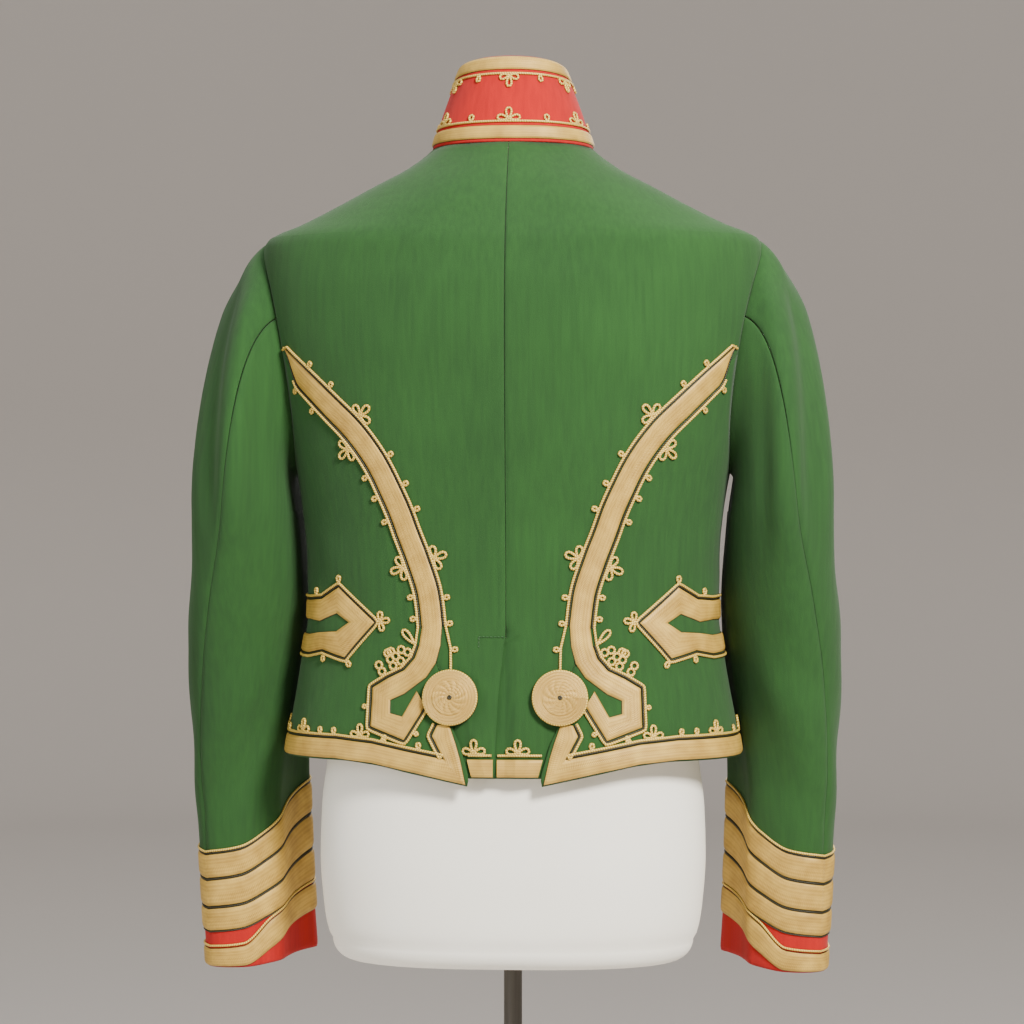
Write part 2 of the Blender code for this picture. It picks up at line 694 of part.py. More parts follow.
def collar_point(turn, share, out=0.0):
    """Point on the collar's outside from its foot, share 0, to its top edge, share 1."""
    turn, share = np.broadcast_arrays(np.asarray(turn, float), np.asarray(share, float))
    foot = torso(turn, neck_height(turn) + SEAM_GAP)
    sine = np.sin(turn)
    cosine = np.cos(turn)
    depth = np.where(cosine > 0, COLLAR_BACK, COLLAR_FRONT)
    reach = (np.abs(sine) ** ROUNDNESS + np.abs(cosine) ** ROUNDNESS) ** (-1 / ROUNDNESS)
    top_height = neck_height(turn) + COLLAR_RISE + COLLAR_BACK_RISE * cosine
    top = np.stack((COLLAR_HALF_WIDTH * reach * sine, COLLAR_MIDDLE - depth * reach * cosine,
                    top_height), -1)
    bulge = COLLAR_BULGE * np.sin(share * math.pi)
    outward = np.stack((sine, -cosine, np.zeros_like(sine)), -1)
    return foot + (top - foot) * share[..., None] + outward * (bulge + out)[..., None]


def collar_turns():
    """Turns of the neckline's columns, the same as those of the panels below it."""
    back = back_turns(NECK_HEIGHT, False)[0]
    front = columns(QUARTER, math.pi - FRONT_STEP, 6, NECK_HEIGHT, strip_low=True)
    half = np.concatenate((back[1:-1], front))
    return np.concatenate((-half[::-1], (0.0,), half))


def collar():
    turns = collar_turns()
    shares = np.linspace(0, 1, 4)
    add_shell("collar", collar_point(turns[None], shares[:, None]), -COLLAR_CLOTH, RED_WOOL)
    wide = COLLAR_LACE / COLLAR_RISE
    for name, low in (("foot", 0.03), ("top", 0.99 - wide)):
        grid = collar_point(turns[None], np.array((low, low + wide))[:, None], COLLAR_LACE_GAP)
        add_shell(f"collar_lace_{name}", grid, LACE, GOLD_LACE)


def refined(rows, longest):
    """Rows of two edges with more of them set in, so that none is far from the next."""
    out = [rows[0]]
    for before, after in zip(rows[:-1], rows[1:]):
        length = max(np.hypot(*(after - before)[:2]), np.hypot(*(after - before)[2:]))
        count = max(1, math.ceil(length / longest))
        out.extend(before + (after - before) * step / count for step in range(1, count + 1))
    return np.array(out)


def lace_shell(name, rows, left, dip=None, ring=False):
    """Lace on the jacket from rows of two edges, each given as girth and height."""
    middle = (rows[:, :2] + rows[:, 2:]) / 2
    lines = np.stack((rows[:, :2], middle, rows[:, 2:]))
    lift = np.full(lines.shape[:2], LACE_GAP)
    if dip:
        lift = lift + dip(turn_at(lines[..., 0], lines[..., 1]), left)
    grid = on_jacket(lines[..., 0], lines[..., 1], lift)
    normal = np.cross(grid[0, 1] - grid[0, 0], grid[1, 0] - grid[0, 0])
    if normal @ (grid[0, 0] * (1, 1, 0)) < 0:
        grid = grid[:, ::-1]
    return add_shell(name, grid, LACE, GOLD_LACE, left, ring)


def side_back_lace(left):
    """Curved band over the side-back seam, ending in an angular loop."""
    heights = np.linspace(1.231, 1.003, 14)
    centre = np.stack((column(SIDE_BACK_SEAM, 1, heights), heights), -1)
    run = unit(np.gradient(centre, axis=0))
    aside = np.stack((-run[:, 1], run[:, 0]), -1) * LACE_WIDTH / 2
    band = np.concatenate((centre + aside, centre - aside), axis=1)
    side = "left" if left else "right"
    rows = refined(np.concatenate((band, LOOP_ROWS)), 0.018)
    return lace_shell(f"side_back_lace_{side}", rows, left)


def hem_lace(left):
    """Lace along the hem from the pike below the rosette to the centre front."""
    side = "left" if left else "right"
    girths = np.array((0.080, 0.115, 0.150, 0.256))
    foot = hem_height(girths) + HEM_LACE_ABOVE_HEM
    level = np.stack((girths, foot, girths, foot + HEM_LACE_HEIGHT), -1)
    end = (FRONT_LAP - 0.002 if left else -FRONT_LAP - 0.002) / float(column(TORSO, 1, FRONT_HEM))
    low = FRONT_HEM + HEM_LACE_ABOVE_HEM
    high = low + HEM_LACE_HEIGHT
    front = [(girth_at(turn, low), low, girth_at(turn, high), high)
             for turn in (math.pi - FRONT_STEP, math.pi - FRONT_STEP / 2, math.pi + end)]
    rows = refined(np.concatenate((PIKE_ROWS, level, front)), 0.014)
    return lace_shell(f"hem_lace_{side}", rows, left, front_dip)


def back_hem_lace(left):
    """Short lace along the hem of a back panel, up to the free edge beside it."""
    side = "left" if left else "right"
    start = (0.0098, 0.0122, 0.0150) if left else (-0.0066, 0.0, VENT_FALL)
    grid = []
    for height in np.array((0, BACK_HEM_LACE)) + BACK_HEM + HEM_LACE_ABOVE_HEM:
        edge = float(column(FREE_EDGE, 1, height))
        girths = np.array((*start, edge - EDGE_FALL, edge - EDGE_FALL / 2, edge - 0.0025))
        grid.append(on_jacket(girths, height, LACE_GAP + back_dip(girths, height, left)))
    add_shell(f"back_hem_lace_{side}", np.array(grid), LACE, GOLD_LACE, left)


def side_loop(left):
    """Closed lace loop with a point at each end, across the side seam at the waist."""
    side = "left" if left else "right"
    back = SIDE_LOOP_ROWS
    front = back[::-1].copy()
    front[:, 0::2] = 2 * girth_at(QUARTER, SIDE_LOOP_HEIGHT) - front[:, 0::2]
    rows = refined(np.concatenate((back, front, back[:1])), 0.012)[:-1]
    return lace_shell(f"side_loop_lace_{side}", rows, left, ring=True)


def turned(name, profile, steps, finish):
    """Round piece from a profile of radii and heights, its outer side top to bottom."""
    points = [(radius, 0.0, height) for radius, height in profile]
    mesh = bpy.data.meshes.new(name)
    mesh.from_pydata(points, [(spot, spot + 1) for spot in range(len(points) - 1)], [])
    mesh.materials.append(add_material(name, finish))
    piece = bpy.data.objects.new(name, mesh)
    COLLECTION.objects.link(piece)
    screw = piece.modifiers.new("turn", "SCREW")
    screw.steps = steps
    screw.render_steps = steps
    screw.use_merge_vertices = True
    screw.merge_threshold = 0.00005
    screw.use_smooth_shade = True
    return piece


def seat(piece, spot, outward):
    """Place a turned piece with its axis along outward and its foot at spot."""
    turn = Vector(outward).to_track_quat("Z", "Y")
    piece.matrix_world = Matrix.Translation(Vector(spot)) @ turn.to_matrix().to_4x4()


def rosette(left):
    side = "left" if left else "right"
    radius = ROSETTE_RADIUS
    thick = ROSETTE_THICK
    profile = ((0, thick * 0.82), (radius * 0.18, thick * 0.86), (radius * 0.55, thick),
               (radius * 0.86, thick * 0.92), (radius * 0.97, thick * 0.62),
               (radius, thick * 0.30), (radius * 0.97, 0), (0, 0))
    piece = turned(f"rosette_{side}", profile, 20, GOLD_LACE)
    foot = on_jacket(ROSETTE_GIRTH, ROSETTE_HEIGHT, ROSETTE_LIFT)
    outward = on_jacket(ROSETTE_GIRTH, ROSETTE_HEIGHT, ROSETTE_LIFT + 0.01) - foot
    if left:
        foot[0] *= -1
        outward[0] *= -1
    seat(piece, foot, outward)


def buttons():
    """Row of domed buttons down the centre front, on the left front."""
    radius = BUTTON_RADIUS
    profile = ((0, radius * 0.52), (radius * 0.50, radius * 0.44), (radius * 0.85, radius * 0.24),
               (radius, radius * 0.08), (radius, 0), (0, 0))
    rows = front_rows()[1]
    edge = torso(math.pi, rows)
    for number in range(BUTTON_COUNT):
        height = BUTTON_LOWEST + number * BUTTON_PITCH
        piece = turned(f"button_{number + 1}", profile, 10, BRASS)
        foot = np.array([np.interp(height, rows, edge[:, axis]) for axis in range(3)])
        row = int(np.searchsorted(rows, height))
        rise = edge[row] - edge[row - 1]
        outward = unit(np.cross((-1.0, 0.0, 0.0), rise))
        seat(piece, foot + outward * BUTTON_LIFT, outward)


def form_rings():
    """Rings of the dress form from its flat underside to its neck."""
    turns = np.arange(FORM_SIDES) / FORM_SIDES * 2 * math.pi
    rings = []
    for angle in np.radians((0, 30, 60, 90)):
        height = FORM_FLOOR + FORM_EDGE * (1 - math.cos(angle))
        ring = oval(FORM, turns, FORM[0, 0])
        inset = FORM_EDGE * (1 - math.sin(angle))
        middle = np.array((0.0, 0.0, 0.0))
        ring = ring - unit(ring * (1, 1, 0) - middle) * inset
        ring[:, 2] = height
        rings.append(ring)
    for row in FORM[1:]:
        rings.append(oval(FORM, turns, row[0]))
    chest = [armhole_height(step * ARMHOLE_STEP) for step in (3, 2, 1, 0)]
    for height in (*chest, *SHOULDER_HEIGHTS[:-1]):
        rings.append(torso(turns, np.full_like(turns, height), -CLOTH - FORM_INSET))
    for row in FORM_NECK:
        rings.append(oval(FORM_NECK, turns, row[0]))
    return np.array(rings)


def dress_form():
    rings = form_rings()
    count = len(rings)
    faces = []
    for row in range(count - 1):
        for start in range(FORM_SIDES):
            end = (start + 1) % FORM_SIDES
            faces.append((row * FORM_SIDES + start, row * FORM_SIDES + end,
                          (row + 1) * FORM_SIDES + end, (row + 1) * FORM_SIDES + start))
    faces.append(tuple(range(FORM_SIDES))[::-1])
    faces.append(tuple(range((count - 1) * FORM_SIDES, count * FORM_SIDES)))
    add_mesh("dress_form", rings.reshape(-1, 3), faces, FORM_COVER)


def stand():
    """Pole and round base."""
    bpy.ops.mesh.primitive_cylinder_add(
        vertices=20, radius=POLE_RADIUS, depth=FORM_FLOOR - BOSS_HEIGHT - 2 * SEAM_GAP,
        location=(0, 0, (FORM_FLOOR + BOSS_HEIGHT) / 2))
    pole = bpy.context.object
    pole.name = "pole"
    pole.data.name = "pole"
    pole.data.materials.append(add_material("pole", GREY_STEEL))
    for owner in list(pole.users_collection):
        owner.objects.unlink(pole)
    COLLECTION.objects.link(pole)
    profile = ((0, BOSS_HEIGHT), (BOSS_RADIUS - 0.004, BOSS_HEIGHT),
               (BOSS_RADIUS, BOSS_HEIGHT - 0.004), (BOSS_RADIUS + 0.002, BASE_THICK + 0.008),
               (BOSS_RADIUS + 0.010, BASE_THICK + 0.001), (BASE_RADIUS - 0.004, BASE_THICK),
               (BASE_RADIUS, BASE_THICK - 0.003), (BASE_RADIUS, 0), (0, 0))
    turned("base", profile, 28, GREY_STEEL)


for old in list(bpy.data.objects):
    bpy.data.objects.remove(old, do_unlink=True)
COLLECTION = bpy.data.collections.new("napoleon_jacket")
bpy.context.scene.collection.children.link(COLLECTION)

for on_left in (False, True):
    back_panel(on_left)
    side_back_panel(on_left)
    front_panel(on_left)
    sleeve_piece("top", 0.0, TOP_SLEEVE_STEPS, on_left)
    sleeve_piece("under", math.pi, UNDER_SLEEVE_STEPS, on_left)
    cuff(on_left)
    side_back_lace(on_left)
    hem_lace(on_left)
    back_hem_lace(on_left)
    side_loop(on_left)
    rosette(on_left)
collar()
buttons()
dress_form()
stand()
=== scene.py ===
"""Short uniform jacket in the Napoleonic style on a limbless dress form.

Green wool cloth with a red standing collar, red cuffs, gold lace, wound rosettes and
cord laid in eyes and trefoils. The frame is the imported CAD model: metres, +Z up, the
jacket's back looks along -Y and +X is the wearer's right.
"""
import math

import bpy
import numpy as np
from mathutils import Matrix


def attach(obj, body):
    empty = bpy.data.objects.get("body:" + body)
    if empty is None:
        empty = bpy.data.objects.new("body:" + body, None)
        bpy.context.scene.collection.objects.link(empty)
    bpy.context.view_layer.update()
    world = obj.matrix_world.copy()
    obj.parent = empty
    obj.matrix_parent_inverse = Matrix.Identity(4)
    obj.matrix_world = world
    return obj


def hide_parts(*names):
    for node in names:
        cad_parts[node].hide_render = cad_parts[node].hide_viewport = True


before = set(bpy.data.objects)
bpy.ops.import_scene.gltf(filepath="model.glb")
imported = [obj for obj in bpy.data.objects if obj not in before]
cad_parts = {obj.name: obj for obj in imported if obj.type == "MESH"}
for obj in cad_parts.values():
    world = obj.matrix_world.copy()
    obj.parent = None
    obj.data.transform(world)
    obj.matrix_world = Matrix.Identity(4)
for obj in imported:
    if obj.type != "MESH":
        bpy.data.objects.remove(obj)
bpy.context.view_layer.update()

TAU = 2 * math.pi
QUARTER = math.pi / 2
SIDES = ("right", "left")    # by the flag left

# Cloth, lace and clearances
CLOTH = 0.0020
COLLAR_CLOTH = 0.0030
SEAM_GAP = 0.0003
ARMHOLE_GAP = -0.0022       # the sleeve head starts under the panels' edges

# Level sections of the jacket: height, half width, back depth, front depth, middle y
TORSO = np.array((
    (0.850, 0.2040, 0.1200, 0.1260, 0.000),
    (0.890, 0.1995, 0.1170, 0.1240, 0.000),
    (0.944, 0.1900, 0.1100, 0.1200, 0.000),
    (0.988, 0.1830, 0.1040, 0.1170, 0.000),
    (1.030, 0.1800, 0.1010, 0.1160, 0.000),
    (1.075, 0.1820, 0.1030, 0.1190, 0.000),
    (1.120, 0.1880, 0.1100, 0.1260, 0.001),
    (1.165, 0.1970, 0.1180, 0.1320, 0.003),
    (1.210, 0.2070, 0.1240, 0.1330, 0.005),
    (1.250, 0.2140, 0.1270, 0.1260, 0.005),
    (1.290, 0.2190, 0.1250, 0.1130, 0.005),
    (1.318, 0.2205, 0.1200, 0.0990, 0.005),
    (1.331, 0.2190, 0.1170, 0.0920, 0.005),
    (1.339, 0.2140, 0.1140, 0.0870, 0.005),
    (1.348, 0.1920, 0.1100, 0.0810, 0.005),
    (1.365, 0.1580, 0.1020, 0.0710, 0.005),
    (1.383, 0.1250, 0.0915, 0.0610, 0.005),
    (1.400, 0.0930, 0.0795, 0.0550, 0.005),
    (1.418, 0.0705, 0.0675, 0.0500, 0.005),
    (1.430, 0.0660, 0.0640, 0.0490, 0.005),
))
ROUNDNESS = 2.3

# Armhole: a loop on the torso round this height at the side
ARMHOLE_HEIGHT = 1.236
ARMHOLE_RISE = 0.1025
ARMHOLE_TURN = 0.45
ARMHOLE_STEP = math.radians(18)

# Neckline: level round the back, lower at the centre front
NECK_HEIGHT = 1.4176
NECK_FRONT_DROP = 0.046

# Side-back seam under the curved lace: height, girth from centre back
SIDE_BACK_SEAM = np.array((
    (0.942, 0.0460),
    (0.958, 0.0530),
    (0.980, 0.0610),
    (1.005, 0.0630),
    (1.029, 0.0660),
    (1.059, 0.0755),
    (1.082, 0.0845),
    (1.100, 0.0910),
    (1.119, 0.0997),
    (1.141, 0.1115),
    (1.169, 0.1330),
    (1.190, 0.1560),
    (1.209, 0.1795),
    (1.236, 0.2168),
))

# Free edge of the side-back panel below the rosette: height, girth
FREE_EDGE = np.array((
    (0.8695, 0.0315),
    (0.8750, 0.0305),
    (0.8920, 0.0345),
    (0.9055, 0.0385),
    (0.9210, 0.0450),
    (0.9420, 0.0460),
))
UNDERLAP = 0.008
EDGE_FALL = 0.014           # girth in which an under layer sinks below a free edge
VENT_FALL = 0.009
DIP = 0.0034                # how deep an under layer lies below the one over it
SPLIT_HEIGHT = 0.944        # the side-back seam opens below this height

# Back vent: the left back laps over the right one
VENT_TOP = 0.9935
VENT_LAP = 0.0150
VENT_EDGE = np.array((
    (0.875, 0.0092),
    (0.940, 0.0062),
    (0.9935, 0.0012),
))

# Hem: girth, height
HEM = np.array((
    (0.0300, 0.8695),
    (0.0800, 0.8798),
    (0.1150, 0.8865),
    (0.1500, 0.8892),
    (0.2560, 0.8892),
    (0.5000, 0.8880),
))
BACK_HEM = 0.8762
FRONT_HEM = 0.8880
FRONT_LAP = 0.014
FRONT_STEP = 0.20           # turn from the centre front at which the under front dips
SHOULDER_HEIGHTS = (1.352, 1.374, 1.396, NECK_HEIGHT)

# Curved side-back lace and its loop: the loop's outer edge and inner edge
LACE_WIDTH = 0.0180
LOOP_ROWS = np.array((
    # outer girth, outer height, inner girth, inner height
    (0.0740, 0.9870, 0.0550, 0.9870),
    (0.0780, 0.9760, 0.0590, 0.9720),
    (0.0870, 0.9660, 0.0670, 0.9600),
    (0.1010, 0.9595, 0.0860, 0.9460),
    (0.1155, 0.9510, 0.0985, 0.9405),
    (0.1170, 0.9180, 0.0985, 0.9300),
    (0.0860, 0.9070, 0.0880, 0.9275),
    (0.0675, 0.9360, 0.0755, 0.9492),
))

# Hem lace with its upright end below the rosette: lower edge and upper edge
HEM_LACE_HEIGHT = 0.0170
HEM_LACE_ABOVE_HEM = 0.0008
BACK_HEM_LACE = 0.0155
PIKE_ROWS = np.array((
    # edge by the free edge: girth, height; edge away from it: girth, height
    (0.0465, 0.9205, 0.0575, 0.9205),
    (0.0410, 0.9050, 0.0620, 0.9115),
    (0.0373, 0.8925, 0.0570, 0.9020),
    (0.0325, 0.8705, 0.0515, 0.8925),
))

# Pointed lace loop on the side, mirrored about the side seam: outer and inner edge
SIDE_LOOP_ROWS = np.array((
    # outer girth, outer height, inner girth, inner height
    (0.1950, 1.0240, 0.1950, 1.0070),
    (0.1730, 1.0255, 0.1750, 1.0055),
    (0.1515, 1.0360, 0.1540, 1.0125),
    (0.1140, 1.0060, 0.1410, 1.0055),
    (0.1437, 0.9750, 0.1540, 0.9980),
    (0.1717, 0.9815, 0.1750, 0.9965),
    (0.1950, 0.9780, 0.1950, 0.9945),
))

SIDE_LOOP_HEIGHT = 1.005

# Rosettes and buttons
ROSETTE_GIRTH = 0.046
ROSETTE_HEIGHT = 0.9433
ROSETTE_RADIUS = 0.0225
ROSETTE_THICK = 0.0050
ROSETTE_LIFT = 0.0021
ROSETTE_PITCH = 0.0026      # from one winding of its cord to the next
BUTTON_COUNT = 8
BUTTON_RADIUS = 0.0085
BUTTON_LOWEST = 0.915
BUTTON_PITCH = 0.0605
BUTTON_LIFT = 0.0006

# Collar: half sizes at its top edge, height over the neckline
COLLAR_HALF_WIDTH = 0.0455
COLLAR_BACK = 0.0530
COLLAR_FRONT = 0.0540
COLLAR_MIDDLE = 0.004
COLLAR_RISE = 0.0700
COLLAR_BACK_RISE = 0.006
COLLAR_BULGE = 0.0015
COLLAR_LACE = 0.0110
COLLAR_LACE_LOW = 0.03      # share of the collar's height at the lower lace's foot
COLLAR_LACE_HIGH = 0.99     # and at the upper lace's top
COLLAR_RADIUS = 0.055       # turns its cords' runs in metres into turns

# Sleeve sections: height, middle x, middle y, long half axis, short half axis,
# turn of the long axis from +X towards the back in degrees
SLEEVE = np.array((
    (0.690, 0.2275, 0.052, 0.0580, 0.0345, 46.6),
    (0.760, 0.2316, 0.048, 0.0575, 0.0355, 47.5),
    (0.847, 0.2350, 0.040, 0.0590, 0.0380, 50.0),
    (0.935, 0.2365, 0.026, 0.0640, 0.0425, 55.0),
    (1.023, 0.2327, 0.010, 0.0670, 0.0470, 65.0),
    (1.100, 0.2305, -0.004, 0.0720, 0.0430, 77.0),
    (1.140, 0.2300, -0.006, 0.0740, 0.0430, 80.0),
))
SLEEVE_HEAD_HEIGHT = 1.100
HIND_SEAM = 4 * ARMHOLE_STEP
FORE_SEAM = -5 * ARMHOLE_STEP
SLEEVE_CLEAR = 0.0036
SLEEVE_EASE = 0.0030

# Cuff lines by turn from the hind-arm seam in degrees, the same both ways round
CUFF_LINES = np.array((
    # turn, lace 1 top, lace 1 foot, lace 2 foot, lace 3 foot, lace 4 top, lace 4 foot, cuff
    (0, 0.7970, 0.7755, 0.7503, 0.7287, 0.7133, 0.6975, 0.6970),
    (45, 0.8023, 0.7805, 0.7545, 0.7325, 0.7165, 0.6985, 0.6972),
    (75, 0.8175, 0.7945, 0.7665, 0.7435, 0.7385, 0.7135, 0.7000),
    (100, 0.8350, 0.8085, 0.7785, 0.7535, 0.7505, 0.7275, 0.7030),
    (120, 0.8450, 0.8185, 0.7870, 0.7605, 0.7575, 0.7340, 0.7050),
    (150, 0.8565, 0.8290, 0.7970, 0.7680, 0.7650, 0.7410, 0.7065),
    (180, 0.8600, 0.8325, 0.8000, 0.7705, 0.7675, 0.7430, 0.7070),
))
CUFF_LACE_SPACE = 0.0016
CUFF_TUCK = 0.006

# Laces in the scene: lift of their edges off the cloth, and rise to their middle
LACE_LIFT = 0.0003
LACE_CROWN = 0.0017
CUFF_LACE_LIFT = 0.0002
CUFF_LACE_CROWN = 0.0019
COLLAR_LACE_CROWN = 0.0018
FLAT_MARGIN = 1.04          # a cut's rectangle over the area of its piece

# Cords, and dark tubes beside the laces that are part stitched edge and part painted shade
CORD_RADIUS = 0.00115
CORD_STEP = 0.0011
CORD_LIFT = 0.0012
CORD_GAP = 0.0030           # from the lace's edge
LINE_GAP = 0.0012
RING_RADIUS = 0.0029
RING_PLACES = (0.0040, 0.0100, 0.0158)

# Dress form: height, half width, back depth, front depth, middle y
FORM = np.array((
    (0.7250, 0.1580, 0.0950, 0.0980, 0.000),
    (0.7400, 0.1630, 0.0990, 0.1020, 0.000),
    (0.7600, 0.1660, 0.1010, 0.1040, 0.000),
    (0.8000, 0.1688, 0.1030, 0.1060, 0.000),
    (0.8450, 0.1675, 0.1020, 0.1060, 0.000),
    (0.8760, 0.1638, 0.1000, 0.1040, 0.000),
    (0.9200, 0.1580, 0.0960, 0.1010, 0.000),
    (0.9700, 0.1510, 0.0900, 0.0970, 0.000),
    (1.0200, 0.1480, 0.0870, 0.0960, 0.000),
    (1.0600, 0.1510, 0.0880, 0.0990, 0.000),
    (1.1000, 0.1590, 0.0930, 0.1060, 0.001),
    (1.1500, 0.1710, 0.1010, 0.1140, 0.002),
    (1.2000, 0.1840, 0.1090, 0.1160, 0.004),
    (1.2450, 0.1980, 0.1160, 0.1130, 0.005),
))
FORM_FLOOR = 0.7100
FORM_EDGE = 0.0180
FORM_INSET = 0.0050
FORM_NECK = np.array((
    (1.4140, 0.0610, 0.0590, 0.0430, 0.005),
    (1.4280, 0.0530, 0.0530, 0.0400, 0.005),
    (1.4500, 0.0470, 0.0490, 0.0380, 0.005),
    (1.4700, 0.0410, 0.0450, 0.0350, 0.005),
    (1.4740, 0.0370, 0.0410, 0.0310, 0.005),
))

# Stand
POLE_RADIUS = 0.008
BASE_RADIUS = 0.180
BASE_THICK = 0.006
BOSS_RADIUS = 0.018
BOSS_HEIGHT = 0.038


def smooth(knots, values, at):
    """Monotone cubic curve through the knots, held level beyond both ends."""
    knots = np.asarray(knots, float)
    values = np.asarray(values, float)
    at = np.clip(np.asarray(at, float), knots[0], knots[-1])
    step = np.diff(knots)
    slope = np.diff(values) / step
    rising = slope[1:] * slope[:-1] > 0
    before = 2 * step[1:] + step[:-1]
    after = step[1:] + 2 * step[:-1]
    first = np.where(rising, slope[:-1], 1.0)
    second = np.where(rising, slope[1:], 1.0)
    bend = np.zeros_like(values)
    bend[1:-1] = np.where(rising, (before + after) / (before / first + after / second), 0.0)
    bend[0] = slope[0]
    bend[-1] = slope[-1]
    spot = np.clip(np.searchsorted(knots, at, side="right") - 1, 0, len(step) - 1)
    share = (at - knots[spot]) / step[spot]
    rest = 1 - share
    start = (1 + 2 * share) * rest ** 2 * values[spot] + share * rest ** 2 * step[spot] * bend[spot]
    end = share ** 2 * (3 - 2 * share) * values[spot + 1]
    return start + end - share ** 2 * rest * step[spot] * bend[spot + 1]


def ramp(low, high, at):
    """Smooth step from 0 at low to 1 at high, which may be the lower number."""
    share = np.clip((np.asarray(at, float) - low) / (high - low), 0, 1)
    return share * share * (3 - 2 * share)


def column(table, number, at):
    """One column of a table read along its first one."""
    return smooth(table[:, 0], table[:, number], at)


def round_reach(sine, cosine):
    """Reach of a rounded square section in a direction."""
    return (np.abs(sine) ** ROUNDNESS + np.abs(cosine) ** ROUNDNESS) ** (-1 / ROUNDNESS)


def oval(table, turn, height):
    """Point on the level sections of a table of heights, half widths and depths."""
    turn, height = np.broadcast_arrays(np.asarray(turn, float), np.asarray(height, float))
    width, back, front, middle = (column(table, number, height) for number in (1, 2, 3, 4))
    sine = np.sin(turn)
    cosine = np.cos(turn)
    reach = round_reach(sine, cosine)
    depth = np.where(cosine > 0, back, front)
    return np.stack((width * reach * sine, middle - depth * reach * cosine, height), -1)


def unit(vectors):
    return vectors / np.linalg.norm(vectors, axis=-1, keepdims=True)


def torso(turn, height, out=0.0):
    """Point on the jacket's outside, or out metres off it."""
    nudge = 1e-4
    round_it = (oval(TORSO, np.add(turn, nudge), height)
                - oval(TORSO, np.subtract(turn, nudge), height))
    up_it = (oval(TORSO, turn, np.add(height, nudge))
             - oval(TORSO, turn, np.subtract(height, nudge)))
    normal = unit(np.cross(round_it, up_it))
    return oval(TORSO, turn, height) + normal * np.asarray(out, float)[..., None]


GIRTH_TURNS = np.linspace(0, math.pi * 1.1, 199)
GIRTH_HEIGHTS = np.linspace(0.86, 1.42, 113)


def girth_table():
    rings = oval(TORSO, GIRTH_TURNS[None, :], GIRTH_HEIGHTS[:, None])
    steps = np.linalg.norm(np.diff(rings, axis=1), axis=2)
    return np.concatenate((np.zeros((len(steps), 1)), np.cumsum(steps, axis=1)), axis=1)


GIRTHS = girth_table()


def turn_at(girth, height):
    """Turn at which the level section has run this girth from the centre back."""
    girth, height = np.broadcast_arrays(np.asarray(girth, float), np.asarray(height, float))
    level = (height.ravel() - GIRTH_HEIGHTS[0]) / (GIRTH_HEIGHTS[1] - GIRTH_HEIGHTS[0])
    level = np.clip(level, 0, len(GIRTH_HEIGHTS) - 1.001)
    row = level.astype(int)
    part = (level - row)[:, None]
    table = GIRTHS[row] * (1 - part) + GIRTHS[row + 1] * part
    want = np.abs(girth.ravel())
    spot = np.clip((table < want[:, None]).sum(1) - 1, 0, len(GIRTH_TURNS) - 2)
    each = np.arange(len(want))
    low = table[each, spot]
    turn = (spot + (want - low) / (table[each, spot + 1] - low)) * GIRTH_TURNS[1]
    return np.copysign(turn, girth.ravel()).reshape(girth.shape)


def neck_height(turn):
    return NECK_HEIGHT - NECK_FRONT_DROP * front_fall(turn)


def front_fall(turn):
    """How far the front's rows have sunk from the side, 0, to the centre front, 1."""
    return ramp(QUARTER + ARMHOLE_TURN, math.pi, np.abs(turn))


def armhole_turn(angle):
    """Turn of the armhole loop: angle 0 is the shoulder, a quarter turn the back."""
    return QUARTER - ARMHOLE_TURN * np.sin(angle)


def armhole_height(angle):
    return ARMHOLE_HEIGHT + ARMHOLE_RISE * np.cos(angle)


def girth_row(height):
    """Girths of the level section at this height, one for each of GIRTH_TURNS."""
    level = (height - GIRTH_HEIGHTS[0]) / (GIRTH_HEIGHTS[1] - GIRTH_HEIGHTS[0])
    level = min(max(level, 0), len(GIRTH_HEIGHTS) - 1.001)
    row = int(level)
    return GIRTHS[row] + (GIRTHS[row + 1] - GIRTHS[row]) * (level - row)


def girth_at(turn, height):
    return float(np.interp(abs(turn), GIRTH_TURNS, girth_row(height)))


def back_dip(girth, height, left):
    """How far a back panel lies in, under the side-back panel and under the vent."""
    edge = column(FREE_EDGE, 1, height)
    dip = (np.clip((girth - edge + EDGE_FALL) / (EDGE_FALL - 0.001), 0, 1)
           * ramp(0.962, 0.947, height))
    if not left:
        vent = np.clip(1 - girth / VENT_FALL, 0, 1)
        dip = dip + vent * ramp(VENT_TOP + 0.014, VENT_TOP + 0.002, height)
    return -DIP * dip


def front_dip(turn, left):
    """How far the right front lies in, under the edge of the left one."""
    if left:
        return np.zeros_like(turn)
    return -DIP * np.clip((turn - math.pi + FRONT_STEP) / (FRONT_STEP / 2), 0, 1)


def back_outer_turn(height):
    """Outer edge of a back panel: side-back seam, armhole, then shoulder seam."""
    gap = SEAM_GAP / 2 / float(column(TORSO, 2, height))
    if height < SPLIT_HEIGHT:
        return float(turn_at(column(FREE_EDGE, 1, height) + UNDERLAP, height))
    if height <= ARMHOLE_HEIGHT:
        return float(turn_at(column(SIDE_BACK_SEAM, 1, height) - SEAM_GAP / 2, height))
    if height < ARMHOLE_HEIGHT + ARMHOLE_RISE:
        angle = math.acos((height - ARMHOLE_HEIGHT) / ARMHOLE_RISE)
        return armhole_turn(angle) - gap
    return QUARTER - gap


def hem_height(girth):
    return smooth(HEM[:, 0], HEM[:, 1], girth)


def blend_patch(low, high, start, end, across, along):
    """Coons patch between four edges that share their corners."""
    u = across[None, :, None]
    v = along[:, None, None]
    rows = low[None] * (1 - v) + high[None] * v
    sides = start[:, None] * (1 - u) + end[:, None] * u
    corners = ((low[0] * (1 - u) + low[-1] * u) * (1 - v)
               + (high[0] * (1 - u) + high[-1] * u) * v)
    return rows + sides - corners


